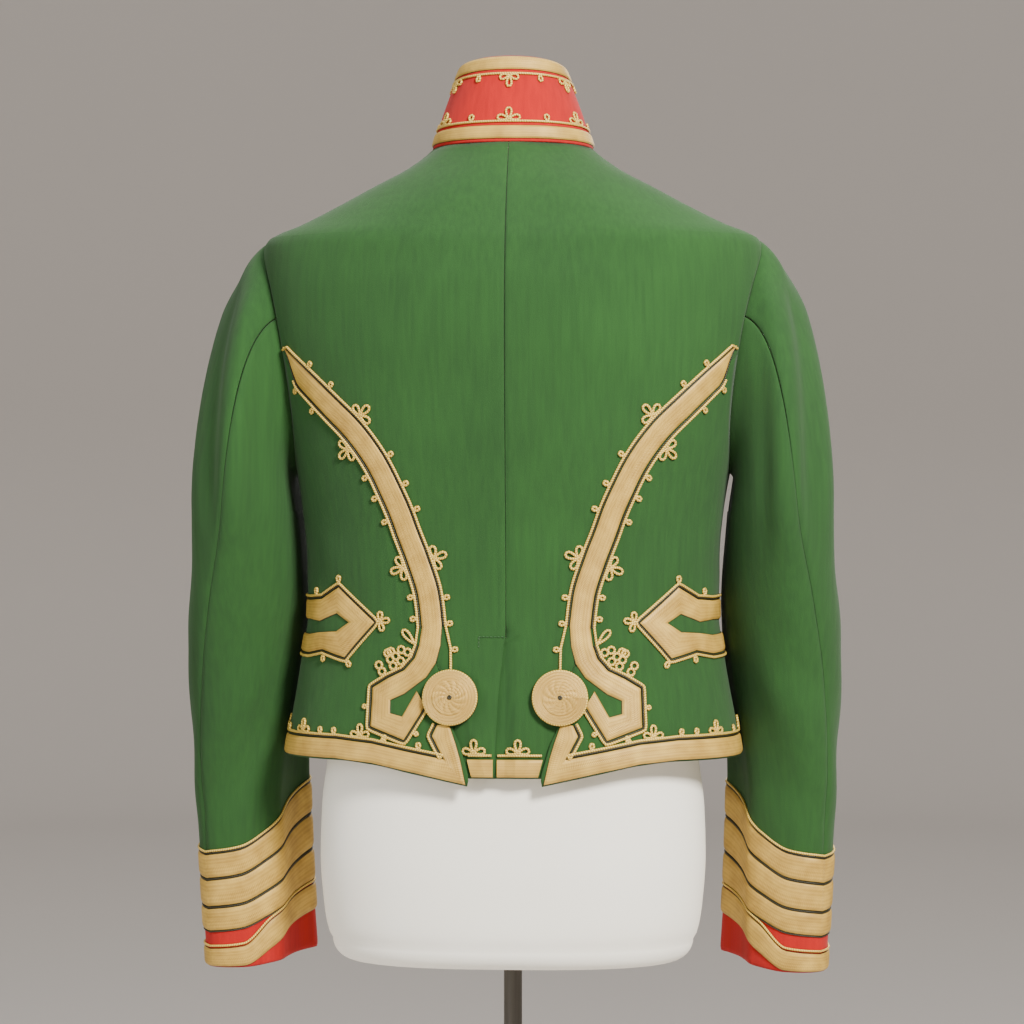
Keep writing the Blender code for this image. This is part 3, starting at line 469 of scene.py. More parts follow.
def to_centre(heights):
    """Heights at the centre front of rows with these heights at the side."""
    share = (heights - heights[0]) / (heights[-1] - heights[0])
    return FRONT_HEM + (neck_height(math.pi) - FRONT_HEM) * share


def sleeve_ring(turn, height):
    """Point on the sleeve's level section; turn 0 is the hind-arm seam."""
    turn, height = np.broadcast_arrays(np.asarray(turn, float), np.asarray(height, float))
    x, y, long_axis, short_axis, lean = (column(SLEEVE, number, height) for number in range(1, 6))
    lean = np.radians(lean)
    along = long_axis * np.cos(turn)
    aside = short_axis * np.sin(turn)
    return np.stack((x + along * np.cos(lean) + aside * np.sin(lean),
                     y - along * np.sin(lean) + aside * np.cos(lean), height), -1)


def beside_torso(points, clear):
    """Sleeve points moved out along X until they clear the jacket's side."""
    width, back, front, middle = (column(TORSO, number, points[..., 2]) for number in (1, 2, 3, 4))
    across = points[..., 1] - middle
    depth = np.where(across < 0, back, front)
    reach = np.clip(1 - np.abs(across / depth) ** ROUNDNESS, 0, None) ** (1 / ROUNDNESS)
    wall = width * reach + clear
    over = points[..., 0] - wall
    moved = points.copy()
    moved[..., 0] = wall + (over + np.sqrt(over ** 2 + SLEEVE_EASE ** 2)) / 2
    return moved


def armhole_angle(turn):
    """Angle on the armhole loop that feeds this turn of the sleeve."""
    share = np.asarray(turn) / math.pi
    top = HIND_SEAM + (FORE_SEAM - HIND_SEAM) * share
    under = FORE_SEAM + (HIND_SEAM - TAU - FORE_SEAM) * (share - 1)
    return np.where(share <= 1, top, under)


def sleeve_head(turn, share):
    """Point between the armhole, share 0, and the first full ring, share 1."""
    turn, share = np.broadcast_arrays(np.asarray(turn, float), np.asarray(share, float))
    angle = armhole_angle(turn)
    start = torso(armhole_turn(angle), armhole_height(angle))
    end = beside_torso(sleeve_ring(turn, np.full_like(turn, SLEEVE_HEAD_HEIGHT)), SLEEVE_CLEAR)
    leave = unit(np.stack((np.full_like(turn, 0.88), -0.40 * np.sin(angle),
                           -0.26 - 0.21 * np.cos(angle)), -1))
    lower = sleeve_ring(turn, np.full_like(turn, SLEEVE_HEAD_HEIGHT - 0.01))
    upper = sleeve_ring(turn, np.full_like(turn, SLEEVE_HEAD_HEIGHT + 0.01))
    arrive = unit(lower - upper)
    length = np.linalg.norm(end - start, axis=-1, keepdims=True)
    start = start + leave * ARMHOLE_GAP
    v = share[..., None]
    rest = 1 - v
    points = ((1 + 2 * v) * rest ** 2 * start + v ** 2 * (3 - 2 * v) * end
              + v * rest ** 2 * length * 0.62 * leave - v ** 2 * rest * length * arrive)
    cleared = beside_torso(points, SLEEVE_CLEAR)
    return points + (cleared - points) * ramp(0.0, 0.5, v)


def cuff_line(number, turn):
    """Height of one of the cuff's lines at a turn of the sleeve."""
    degrees = np.degrees(np.abs((np.asarray(turn) + math.pi) % (TAU) - math.pi))
    return smooth(CUFF_LINES[:, 0], CUFF_LINES[:, number], degrees)


def sleeve_wall(turns, height):
    return beside_torso(sleeve_ring(turns, height), SLEEVE_CLEAR)


def arm_grid(turns, top, foot, rows, out=0.0):
    """Sleeve wall between two lines round it, with rows that climb."""
    grid = []
    nudge = 0.02
    upward = np.array((0.0, 0.0, 1.0))
    for share in np.linspace(0, 1, rows + 1):
        height = foot + (top - foot) * share
        across = sleeve_wall(turns + nudge, height) - sleeve_wall(turns - nudge, height)
        grid.append(sleeve_wall(turns, height) + unit(np.cross(across, upward)) * out)
    return np.array(grid)


def collar_point(turn, share, out=0.0):
    """Point on the collar's outside from its foot, share 0, to its top edge, share 1."""
    turn, share = np.broadcast_arrays(np.asarray(turn, float), np.asarray(share, float))
    foot = torso(turn, neck_height(turn) + SEAM_GAP)
    sine = np.sin(turn)
    cosine = np.cos(turn)
    depth = np.where(cosine > 0, COLLAR_BACK, COLLAR_FRONT)
    reach = round_reach(sine, cosine)
    top_height = neck_height(turn) + COLLAR_RISE + COLLAR_BACK_RISE * cosine
    top = np.stack((COLLAR_HALF_WIDTH * reach * sine, COLLAR_MIDDLE - depth * reach * cosine,
                    top_height), -1)
    bulge = COLLAR_BULGE * np.sin(share * math.pi)
    outward = np.stack((sine, -cosine, np.zeros_like(sine)), -1)
    return foot + (top - foot) * share[..., None] + outward * (bulge + out)[..., None]


# Materials
class Shader:
    """Principled material with small helpers for its node tree."""

    def __init__(self, name, roughness, metallic=0.0, sheen=0.0):
        self.material = bpy.data.materials.new(name)
        self.material.use_nodes = True
        self.tree = self.material.node_tree
        self.main = self.tree.nodes["Principled BSDF"]
        self.main.inputs["Roughness"].default_value = roughness
        self.main.inputs["Metallic"].default_value = metallic
        self.main.inputs["Sheen Weight"].default_value = sheen
        self.main.inputs["Sheen Roughness"].default_value = 0.5

    def node(self, kind):
        return self.tree.nodes.new(kind)

    def link(self, output, target):
        self.tree.links.new(output, target)

    def place(self):
        return self.node("ShaderNodeTexCoord").outputs["Object"]

    def uv(self):
        return self.node("ShaderNodeTexCoord").outputs["UV"]

    def noise(self, scale, detail=2.0, stretch=(1, 1, 1), where=None):
        mapping = self.node("ShaderNodeMapping")
        mapping.inputs["Scale"].default_value = stretch
        self.link(where or self.place(), mapping.inputs["Vector"])
        made = self.node("ShaderNodeTexNoise")
        made.inputs["Scale"].default_value = scale
        made.inputs["Detail"].default_value = detail
        self.link(mapping.outputs["Vector"], made.inputs["Vector"])
        return made.outputs["Fac"]

    def math(self, operation, first, second=0.5):
        made = self.node("ShaderNodeMath")
        made.operation = operation
        for spot, value in enumerate((first, second)):
            if hasattr(value, "is_linked"):
                self.link(value, made.inputs[spot])
            else:
                made.inputs[spot].default_value = value
        return made.outputs[0]

    def spread(self, value, low, high, to_low=0.0, to_high=1.0):
        made = self.node("ShaderNodeMapRange")
        made.clamp = True
        self.link(value, made.inputs["Value"])
        for name, number in (("From Min", low), ("From Max", high),
                             ("To Min", to_low), ("To Max", to_high)):
            made.inputs[name].default_value = number
        return made.outputs["Result"]

    def mix(self, share, first, second):
        made = self.node("ShaderNodeMix")
        made.data_type = "RGBA"
        self.link(share, made.inputs["Factor"])
        for socket, value in ((made.inputs["A"], first), (made.inputs["B"], second)):
            if hasattr(value, "is_linked"):
                self.link(value, socket)
            else:
                socket.default_value = (*value, 1.0)
        return made.outputs["Result"]

    def colour(self, output):
        self.link(output, self.main.inputs["Base Color"])
        return self

    def bump(self, height, distance, strength=1.0):
        made = self.node("ShaderNodeBump")
        made.inputs["Strength"].default_value = strength
        made.inputs["Distance"].default_value = distance
        self.link(height, made.inputs["Height"])
        self.link(made.outputs["Normal"], self.main.inputs["Normal"])
        return self


def wool(name, light, dark, nap=0.00022):
    """Fulled woollen cloth: soft mottling, fine upright threads and a short nap."""
    made = Shader(name, 0.95, sheen=0.04)
    broad = made.spread(made.noise(9.0, 3.0, (1, 1, 0.5)), 0.35, 0.65)
    threads = made.spread(made.noise(260.0, 2.0, (1, 1, 0.06)), 0.3, 0.7)
    fuzz = made.noise(1500.0, 3.0)
    blend = made.math("ADD", made.math("MULTIPLY", broad, 0.5),
                      made.math("MULTIPLY", threads, 0.5))
    made.colour(made.mix(blend, dark, light))
    height = made.math("ADD", made.math("MULTIPLY", threads, 0.35), fuzz)
    made.bump(height, nap, 0.8)
    return made.material


def lace(name, light, dark, edge=(0.030, 0.022, 0.008), period=0.0016):
    """Woven gold lace: a fine herringbone with dark edges, part stitched edge and part painted shade,
    laid out by UV in metres and share.
    """
    made = Shader(name, 0.52, metallic=0.15)
    split = made.node("ShaderNodeSeparateXYZ")
    made.link(made.uv(), split.inputs["Vector"])
    run = split.outputs["X"]
    across = split.outputs["Y"]
    side = made.math("ABSOLUTE", made.math("SUBTRACT", across, 0.5))
    slant = made.math("ADD", made.math("DIVIDE", run, period), made.math("MULTIPLY", side, 9.0))
    wave = made.math("SINE", made.math("MULTIPLY", slant, TAU))
    ribs = made.math("SINE", made.math("MULTIPLY", side, TAU * 7))
    weave = made.spread(made.math("ADD", made.math("MULTIPLY", wave, 0.6),
                                  made.math("MULTIPLY", ribs, 0.4)), -1, 1)
    mottle = made.spread(made.noise(60.0, 3.0), 0.3, 0.7)
    share = made.math("ADD", made.math("MULTIPLY", weave, 0.5),
                      made.math("MULTIPLY", mottle, 0.5))
    body = made.mix(share, dark, light)
    # The dark rim on both edges is part stitched edge and part painted shade where the lace meets the
    # cloth.
    rim = made.spread(side, 0.455, 0.485)
    made.colour(made.mix(rim, body, edge))
    made.bump(weave, 0.00018, 0.7)
    return made.material


def wound(name, light, dark, period=0.0021, lean=1.0):
    """Twisted gold cord, laid out by UV: metres along it and share round it."""
    made = Shader(name, 0.45, metallic=0.2)
    split = made.node("ShaderNodeSeparateXYZ")
    made.link(made.uv(), split.inputs["Vector"])
    turn = made.math("ADD", made.math("DIVIDE", split.outputs["X"], period),
                     made.math("MULTIPLY", split.outputs["Y"], lean))
    wave = made.spread(made.math("SINE", made.math("MULTIPLY", turn, TAU)), -1, 1)
    made.colour(made.mix(wave, dark, light))
    made.bump(wave, 0.0002, 0.8)
    return made.material


def jersey(name, light, dark):
    made = Shader(name, 0.93, sheen=0.15)
    broad = made.spread(made.noise(7.0, 3.0), 0.35, 0.65)
    knit = made.noise(900.0, 1.0, (1, 1, 0.4))
    made.colour(made.mix(broad, dark, light))
    made.bump(knit, 0.00012, 0.5)
    return made.material


def steel(name, light, dark):
    made = Shader(name, 0.42, metallic=0.55)
    streak = made.spread(made.noise(120.0, 3.0, (1, 1, 0.02)), 0.3, 0.75)
    made.colour(made.mix(streak, dark, light))
    made.bump(made.noise(600.0), 0.00005, 0.4)
    return made.material


GREEN = wool("green wool", (0.0155, 0.076, 0.0100), (0.0095, 0.050, 0.0066))
RED = wool("red wool", (0.480, 0.0040, 0.0010), (0.330, 0.0025, 0.0008))
LINING = jersey("cream lining", (0.62, 0.56, 0.42), (0.55, 0.49, 0.36))
GOLD = lace("gold lace", (0.700, 0.450, 0.085), (0.300, 0.165, 0.020))
CORD = wound("gold cord", (0.860, 0.620, 0.130), (0.380, 0.220, 0.025))
THREAD = wound("green thread", (0.030, 0.100, 0.026), (0.018, 0.060, 0.016))
# Dark cord: the rosette's eye, and painted shade in the rings between the cuff laces, round the
# rosette's foot and, with stitching, beside the laces on the body.
DARK_CORD_AND_SHADE = wound("dark cord and painted shade", (0.035, 0.030, 0.010), (0.015, 0.015, 0.006))
SPIRAL = wound("wound rosette", (0.740, 0.480, 0.110), (0.360, 0.200, 0.030), 0.0030, 2.0)
COVER = jersey("cream cotton", (0.965, 0.945, 0.840), (0.940, 0.905, 0.790))
STEEL = steel("grey paint", (0.120, 0.108, 0.090), (0.060, 0.054, 0.044))
BRASS_SHADER = Shader("brass", 0.28, metallic=1.0)
BRASS_SHADER.colour(BRASS_SHADER.mix(BRASS_SHADER.noise(40.0), (0.78, 0.56, 0.24),
                                     (0.70, 0.48, 0.19)))
BRASS = BRASS_SHADER.material


# Meshes
def mesh_piece(name, points, faces, uv, finishes, left):
    """Object from points, a UV for each and quads; mirrored for the left side."""
    points = points.copy()
    if left:
        points[:, 0] *= -1
        faces = faces[:, ::-1]
    name = name.replace(" ", "_")
    mesh = bpy.data.meshes.new(name)
    mesh.from_pydata(points, [], faces)
    layer = mesh.uv_layers.new(name="UVMap")
    index = np.empty(len(mesh.loops), dtype=np.int32)
    mesh.loops.foreach_get("vertex_index", index)
    layer.data.foreach_set("uv", uv[index].ravel().astype(np.float32))
    for finish in finishes:
        mesh.materials.append(finish)
    mesh.shade_smooth()
    piece = bpy.data.objects.new(name, mesh)
    bpy.context.scene.collection.objects.link(piece)
    return piece


def grid_faces(rows, columns, ring=False):
    """Quads of a grid of points, which closes round its columns if it is a ring."""
    row, start = np.meshgrid(np.arange(rows - 1), np.arange(columns if ring else columns - 1),
                             indexing="ij")
    end = (start + 1) % columns
    corners = (row * columns + start, row * columns + end,
               (row + 1) * columns + end, (row + 1) * columns + start)
    return np.stack(corners, -1).reshape(-1, 4)


def grid_piece(name, points, uv, finishes, left=False, ring=False, wall=0.0):
    """Surface from a grid of points, rows climbing and columns forwards, with a UV each."""
    faces = grid_faces(*points.shape[:2], ring)
    piece = mesh_piece(name, points.reshape(-1, 3), faces, uv.reshape(-1, 2), finishes, left)
    if wall:
        solid = piece.modifiers.new("wall", "SOLIDIFY")
        solid.thickness = wall
        solid.offset = -1
        solid.use_quality_normals = True
        solid.material_offset = 1
    return piece


def surface_area(points):
    """Area in square metres of a grid of points."""
    one = points[1:, :-1] - points[:-1, :-1]
    two = points[:-1, 1:] - points[:-1, :-1]
    return float(np.linalg.norm(np.cross(one, two), axis=-1).sum())


def finish_piece(piece, nodes, flat=None, area=None):
    """Rides on the root, stands for its CAD nodes and, if cloth, works out the length of its cut sheet.
    """
    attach(piece, "root")
    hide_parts(*nodes)
    if flat:
        width, length = flat
        length = max(length, round(area / width * FLAT_MARGIN, 3))


def circle(angles, aside, upward):
    """Points of the unit circle in the plane of two directions."""
    return np.cos(angles)[:, None] * aside + np.sin(angles)[:, None] * upward


def run_along(path):
    """Length along a path at each of its points."""
    return np.concatenate(((0,), np.cumsum(np.linalg.norm(np.diff(path, axis=0), axis=1))))


def tubes(name, paths, radius, finish, left=False, sides=8):
    """One object of many round cords, each a pair of path points and normals."""
    verts = []
    faces = []
    uvs = []
    base = 0
    share = np.arange(sides) / sides
    for path, normals in paths:
        tangent = unit(np.gradient(path, axis=0))
        aside = unit(np.cross(tangent, normals))
        ring = circle(share * TAU, aside[:, None], np.cross(aside, tangent)[:, None])
        verts.append((path[:, None] + ring * radius).reshape(-1, 3))
        uvs.append(np.stack(np.broadcast_arrays(run_along(path)[:, None], share), -1).reshape(-1, 2))
        faces.append(base + grid_faces(len(path), sides, True)[:, [0, 3, 2, 1]])
        base += len(path) * sides
    piece = mesh_piece(name, np.concatenate(verts), np.concatenate(faces), np.concatenate(uvs),
                       (finish,), left)
    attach(piece, "root")


def mesh_uv(points):
    """UV in metres from a grid of points: along its columns and up its rows."""
    along = np.linalg.norm(np.diff(points, axis=1), axis=2)
    up = np.linalg.norm(np.diff(points, axis=0), axis=2)
    u = np.concatenate((np.zeros((len(points), 1)), np.cumsum(along, axis=1)), axis=1)
    v = np.concatenate((np.zeros((1, points.shape[1])), np.cumsum(up, axis=0)), axis=0)
    return np.stack((u, v), -1)


# Cloth on the torso
def swell(turn, height):
    """Slight unevenness of the worn cloth, in metres."""
    slow = 0.0007 * np.sin(7.0 * turn + 23 * height) * np.sin(31 * height + 1.3 + 2 * turn)
    waist = ramp(0.92, 1.0, height) * ramp(1.12, 1.03, height)
    away = ramp(0.3, 1.0, np.abs(turn))
    folds = 0.0006 * np.sin(95 * height + 3.0 * np.sin(3 * turn)) * waist * away
    return slow + folds


def shares(count, tight=0.55):
    """Shares from 0 to 1, closer together towards both ends."""
    even = np.linspace(0, 1, count)
    return even * (1 - tight) + (0.5 - 0.5 * np.cos(math.pi * even)) * tight


def rolled(points, edges, depth=0.0008, reach=0.0022):
    """How far a panel's edge turns in; edges is a row of four flags: low, high, start, end."""
    total = np.zeros(points.shape[:2])
    lengths = mesh_uv(points)
    gaps = (lengths[..., 1], lengths[-1:, :, 1] - lengths[..., 1],
            lengths[..., 0], lengths[:, -1:, 0] - lengths[..., 0])
    for wanted, gap in zip(edges, gaps):
        total = total + wanted * np.exp(-(gap / reach) ** 2)
    return -depth * np.clip(total, 0, 1)


def panel(name, turns, heights, dip, left, flat):
    """Panel of the body on the torso surface, with slight folds, dips and rolled edges."""
    out = swell(turns, heights) + dip + rolled(torso(turns, heights), (1, 1, 1, 1))
    points = torso(turns, heights, out)
    piece = grid_piece(f"{name} cloth {SIDES[left]}", points, mesh_uv(points), (GREEN, LINING), left,
                       wall=CLOTH)
    finish_piece(piece, (f"{name}_{SIDES[left]}",), flat, surface_area(points))


def back_cloth(left):
    rows = np.concatenate((np.linspace(BACK_HEM, ARMHOLE_HEIGHT, 74),
                           armhole_height(np.linspace(QUARTER, 0, 34)[1:]),
                           np.linspace(armhole_height(0), NECK_HEIGHT, 18)[1:]))
    grid_turns = []
    grid_dips = []
    for height in rows:
        inner = SEAM_GAP / 2
        if height < VENT_TOP:
            inner = float(column(VENT_EDGE, 1, height)) if left else -VENT_LAP
        start = float(turn_at(inner, height))
        end = back_outer_turn(height)
        turns = start + (end - start) * shares(76)
        girths = np.interp(np.abs(turns), GIRTH_TURNS, girth_row(height)) * np.sign(turns)
        grid_turns.append(turns)
        grid_dips.append(back_dip(girths, height, left))
    turns = np.array(grid_turns)
    heights = np.broadcast_to(rows[:, None], turns.shape)
    panel("back", turns, heights, np.array(grid_dips), left, (0.30, 0.56))


def side_back_cloth(left):
    seam_heights = np.linspace(HEM[0, 1], ARMHOLE_HEIGHT, 74)
    along = (seam_heights - seam_heights[0]) / (seam_heights[-1] - seam_heights[0])
    edge = np.where(seam_heights < SPLIT_HEIGHT, column(FREE_EDGE, 1, seam_heights),
                    column(SIDE_BACK_SEAM, 1, seam_heights) + SEAM_GAP / 2)
    across = shares(70)
    seam = np.stack((turn_at(edge, seam_heights), seam_heights), -1)
    side_turn = QUARTER - SEAM_GAP / 2 / 0.11
    hem_girths = edge[0] + (girth_at(side_turn, HEM[-2, 1]) - edge[0]) * across
    hem_heights = hem_height(hem_girths)
    hem = np.stack((turn_at(hem_girths, hem_heights), hem_heights), -1)
    arc = QUARTER + QUARTER * across
    top = np.stack((armhole_turn(arc), armhole_height(arc)), -1)
    top[-1, 0] = side_turn
    hem[-1, 0] = side_turn
    top[0] = seam[-1]
    side = hem[-1] + (top[-1] - hem[-1]) * along[:, None]
    patch = blend_patch(hem, top, seam, side, across, along)
    panel("side_back", patch[..., 0], patch[..., 1], 0.0, left, (0.25, 0.38))


def front_cloth(left):
    side_rows = np.linspace(HEM[-2, 1], armhole_height(math.pi), 40)[:-1]
    arm_angles = np.linspace(math.pi, TAU, 64)
    top_rows = np.linspace(armhole_height(0), NECK_HEIGHT, 18)[1:]
    heights = np.concatenate((side_rows, armhole_height(arm_angles), top_rows))
    centres = to_centre(heights)
    turns = []
    levels = []
    for row, (height, centre) in enumerate(zip(heights, centres)):
        gap = SEAM_GAP / 2 / float(column(TORSO, 3, height))
        step = row - len(side_rows)
        start = QUARTER + gap
        if 0 <= step < len(arm_angles):
            start = float(armhole_turn(arm_angles[step])) + gap
        lap = math.asin(FRONT_LAP / float(column(TORSO, 1, centre)))
        line = start + (math.pi + lap - start) * shares(84)
        turns.append(line)
        levels.append(height + (centre - height) * front_fall(line))
    turns = np.array(turns)
    panel("front", turns, np.array(levels), front_dip(turns, left), left, (0.37, 0.55))


# Sleeves
def along_normals(points, out, ring=False):
    """Grid moved along its own normals, which point outwards, away from the middle."""
    across = np.gradient(points, axis=1)
    if ring:
        padded = np.concatenate((points[:, -2:], points, points[:, :2]), axis=1)
        across = np.gradient(padded, axis=1)[:, 2:-2]
    up = np.gradient(points, axis=0)
    return points + unit(np.cross(across, up)) * np.asarray(out)[..., None]


def sleeve_folds(turn, height):
    """Soft folds of a worn sleeve, in metres."""
    around = np.cos(turn)
    head = ramp(1.02, 1.14, height)
    drag = (0.0058 * head * np.cos(5 * (turn - 0.35) + 14 * (1.32 - height))
            * ramp(1.325, 1.27, height))
    elbow = ramp(0.86, 0.95, height) * ramp(1.12, 1.02, height)
    crease = (0.0042 * elbow * np.sin(62 * height + 2.2 * np.sin(turn + 0.6))
              * (0.55 - 0.45 * around))
    lower = ramp(0.82, 0.87, height) * ramp(0.99, 0.93, height)
    ripple = 0.0022 * lower * np.sin(38 * height + 3 * turn)
    return drag + crease + ripple


def sleeve_cloth(name, start, left):
    side = SIDES[left]
    gap = SEAM_GAP / 2 / 0.04
    turns = start + gap + (math.pi - 2 * gap) * shares(64, 0.6)
    foot = cuff_line(4, turns) + CUFF_TUCK + SEAM_GAP
    top = np.full_like(turns, SLEEVE_HEAD_HEIGHT)
    arm = [sleeve_wall(turns, foot + (top - foot) * share) for share in np.linspace(0, 1, 76)]
    head = [sleeve_head(turns, share) for share in 1 - np.linspace(0, 1, 46)[1:]]
    points = np.array(arm + head)
    heights = points[..., 2]
    folds = sleeve_folds(np.broadcast_to(turns, heights.shape), heights)
    near_torso = ramp(0.012, 0.035, points[..., 0] - 0.196)
    out = folds * near_torso + rolled(points, (0, 1, 1, 1), 0.0009, 0.0025)
    points = along_normals(points, out)
    piece = grid_piece(f"{name} sleeve cloth {side}", points, mesh_uv(points), (GREEN, LINING),
                       left, wall=CLOTH)
    width = 0.26 if name == "top" else 0.22
    finish_piece(piece, (f"{name}_sleeve_{side}",), (width, 0.62), surface_area(points))


def crown(across):
    """Cross section of a lace: flat with rounded edges, from 0 at its edges to 1."""
    return 1 - np.abs(2 * across - 1) ** 7


ACROSS = shares(13, 0.7)    # a lace's columns, as shares of its width
MIDDLE = 6                  # the middle one of them


def lace_uv(length):
    """UV of a lace: metres along it and share across it."""
    return np.stack(np.broadcast_arrays(length, ACROSS[:, None]), -1)


def lace_piece(node, points, uv, flat, left=False, ring=False):
    """Woven lace that stands for one CAD node."""
    piece = grid_piece(f"woven_{node}", points, uv, (GOLD,), left, ring)
    finish_piece(piece, (node,), flat, surface_area(points))


def cuff_cloth(left):
    """Red cuff and its four laces."""
    side = SIDES[left]
    around = np.linspace(0, TAU, 121)[:-1]
    top = cuff_line(4, around) + CUFF_TUCK
    foot = cuff_line(7, around)
    wall = arm_grid(around, top, foot, 24)
    edge = rolled(np.concatenate((wall, wall[:, :1]), axis=1), (1, 0, 0, 0))[:, :-1]
    wall = along_normals(wall, edge, ring=True)
    piece = grid_piece(f"cuff cloth {side}", wall, mesh_uv(wall), (RED, LINING), left, True, CLOTH)
    finish_piece(piece, (f"cuff_{side}",), (0.31, 0.085), surface_area(wall))
    for number in (1, 2, 3, 4):
        line = number if number < 4 else 5
        top = cuff_line(line, around) - (CUFF_LACE_SPACE if number in (2, 3) else 0)
        foot = cuff_line(line + 1, around)
        points = np.array([arm_grid(around, foot + (top - foot) * share, foot, 1,
                                    CUFF_LACE_LIFT + CUFF_LACE_CROWN * crown(share))[1]
                           for share in ACROSS])
        lace_piece(f"cuff_lace_{number}_{side}", points, lace_uv(mesh_uv(points)[..., 0]),
                   (0.33, 0.026), left, True)


# Collar
def collar_cloth():
    half = math.pi - FRONT_STEP
    turns = np.linspace(-half, half, 221)
    rows = shares(26, 0.6)
    points = collar_point(turns[None], rows[:, None])
    points = along_normals(points, rolled(points, (0, 1, 1, 1), 0.0010, 0.0022))
    piece = grid_piece("collar cloth", points, mesh_uv(points), (RED, LINING), wall=COLLAR_CLOTH)
    finish_piece(piece, ("collar",), (0.40, 0.075), surface_area(points))
    wide = COLLAR_LACE / COLLAR_RISE
    across = ACROSS[:, None]
    for name, low in (("foot", COLLAR_LACE_LOW), ("top", COLLAR_LACE_HIGH - wide)):
        points = collar_point(turns[None], low + wide * across,
                              CUFF_LACE_LIFT + COLLAR_LACE_CROWN * crown(across))
        lace_piece(f"collar_lace_{name}", points, lace_uv(mesh_uv(points)[..., 0]), (0.40, 0.012))


# Lace laid on the torso
def band(name, rows, left, flat):
    """Lace between two edges, each row giving both edges' girth and height."""
    across = ACROSS[:, None, None]
    spots = rows[None, :, :2] * (1 - across) + rows[None, :, 2:] * across
    girth = spots[..., 0]
    height = spots[..., 1]
    turn = turn_at(girth, height)
    lift = LACE_LIFT + LACE_CROWN * np.broadcast_to(crown(ACROSS)[:, None], girth.shape)
    if name == "hem":
        lift = lift + front_dip(turn, left)
    if name == "back_hem":
        lift = lift + back_dip(girth, height, left)
    grid = torso(turn, height, lift + swell(turn, height))
    uv = lace_uv(mesh_uv(grid)[MIDDLE, :, 0])
    corner = grid[MIDDLE, 0]
    normal = np.cross(grid[MIDDLE, 1] - corner, grid[MIDDLE + 1, 0] - corner)
    if normal @ (corner * (1, 1, 0)) < 0:
        grid = grid[::-1]
        uv = uv[::-1]
    lace_piece(f"{name}_lace_{SIDES[left]}", grid, uv, flat, left)


def fine_rows(rows, longest=0.0022):
    """Rows of two edges with more of them set in, so that none is far from the next."""
    out = [rows[0]]
    for before, after in zip(rows[:-1], rows[1:]):
        length = max(np.hypot(*(after - before)[:2]), np.hypot(*(after - before)[2:]))
        count = max(1, math.ceil(length / longest))
        out.extend(before + (after - before) * step / count for step in range(1, count + 1))
    return np.array(out)


def seam_band():
    """Rows of the curved side-back lace, inner edge first, narrowing at the armhole."""
    heights = np.linspace(1.2352, 1.003, 90)
    centre = np.stack((column(SIDE_BACK_SEAM, 1, heights), heights), -1)
    run = unit(np.gradient(centre, axis=0))
    aside = np.stack((-run[:, 1], run[:, 0]), -1) * LACE_WIDTH / 2
    taper = (2 * ramp(0, 0.036, run_along(centre)) - 1)[:, None]
    return np.concatenate((centre + aside * taper, centre - aside), axis=1)


def side_loop_rows():
    back = SIDE_LOOP_ROWS
    front = back[::-1].copy()
    front[:, 0::2] = 2 * girth_at(QUARTER, SIDE_LOOP_HEIGHT) - front[:, 0::2]
    return np.concatenate((back, front[1:-1], back[:1]))


def hem_rows(left):
    girths = np.array((0.080, 0.115, 0.150, 0.256))
    foot = hem_height(girths) + HEM_LACE_ABOVE_HEM
    level = np.stack((girths, foot, girths, foot + HEM_LACE_HEIGHT), -1)
    end = (FRONT_LAP - 0.002 if left else -FRONT_LAP - 0.002) / float(column(TORSO, 1, FRONT_HEM))
    low = FRONT_HEM + HEM_LACE_ABOVE_HEM
    high = low + HEM_LACE_HEIGHT
    front = [(girth_at(turn, low), low, girth_at(turn, high), high)
             for turn in (math.pi - FRONT_STEP, math.pi - FRONT_STEP / 2, math.pi + end)]
    return np.concatenate((PIKE_ROWS, level, front))


def back_hem_rows(left):
    start = (0.0098, 0.0122, 0.0150) if left else (-0.0066, 0.0, VENT_FALL)
    lines = []
    for height in np.array((0, BACK_HEM_LACE)) + BACK_HEM + HEM_LACE_ABOVE_HEM:
        edge = float(column(FREE_EDGE, 1, height))
        girths = np.array((*start, edge - EDGE_FALL, edge - EDGE_FALL / 2, edge - 0.0025))
        lines.append(np.stack((girths, np.full_like(girths, height)), -1))
    return np.concatenate(lines, axis=1)


# Cords
def even_path(points, step=CORD_STEP):
    """Path with points evenly spaced along it."""
    length = np.concatenate(((0,), np.cumsum(np.hypot(*np.diff(points, axis=0).T))))
    count = max(4, int(length[-1] / step))
    at = np.linspace(0, length[-1], count)
    return np.stack((np.interp(at, length, points[:, 0]), np.interp(at, length, points[:, 1])), -1)


def petal(root, direction, length, width):
    """Closed loop of cord that leaves root and comes back to it."""
    t = np.linspace(0, TAU, max(16, int(length / 0.0006)))
    along = length / 2 * (1 - np.cos(t))
    aside = width * np.sin(t) * np.abs(np.sin(t / 2)) ** 1.3
    cross = np.array((-direction[1], direction[0]))
    return root + along[:, None] * direction + aside[:, None] * cross


def rotated(direction, degrees):
    turn = math.radians(degrees)
    return np.array((direction[0] * math.cos(turn) - direction[1] * math.sin(turn),
                     direction[0] * math.sin(turn) + direction[1] * math.cos(turn)))


def trefoil(root, direction, size=1.0):
    """Three loops of cord that spread from a knot."""
    knot = root + direction * 0.0022 * size
    return [petal(knot, rotated(direction, turn), length * size, 0.0036 * size)
            for turn, length in ((-78, 0.0102), (0, 0.0112), (78, 0.0102))]


def eye(root, direction, size=1.0):
    return [petal(root, direction, 0.0056 * size, 0.0022 * size)]


def ring_loop(centre, radius):
    t = np.linspace(0, TAU, 22)
    return centre + radius * np.stack((np.cos(t), np.sin(t)), -1)


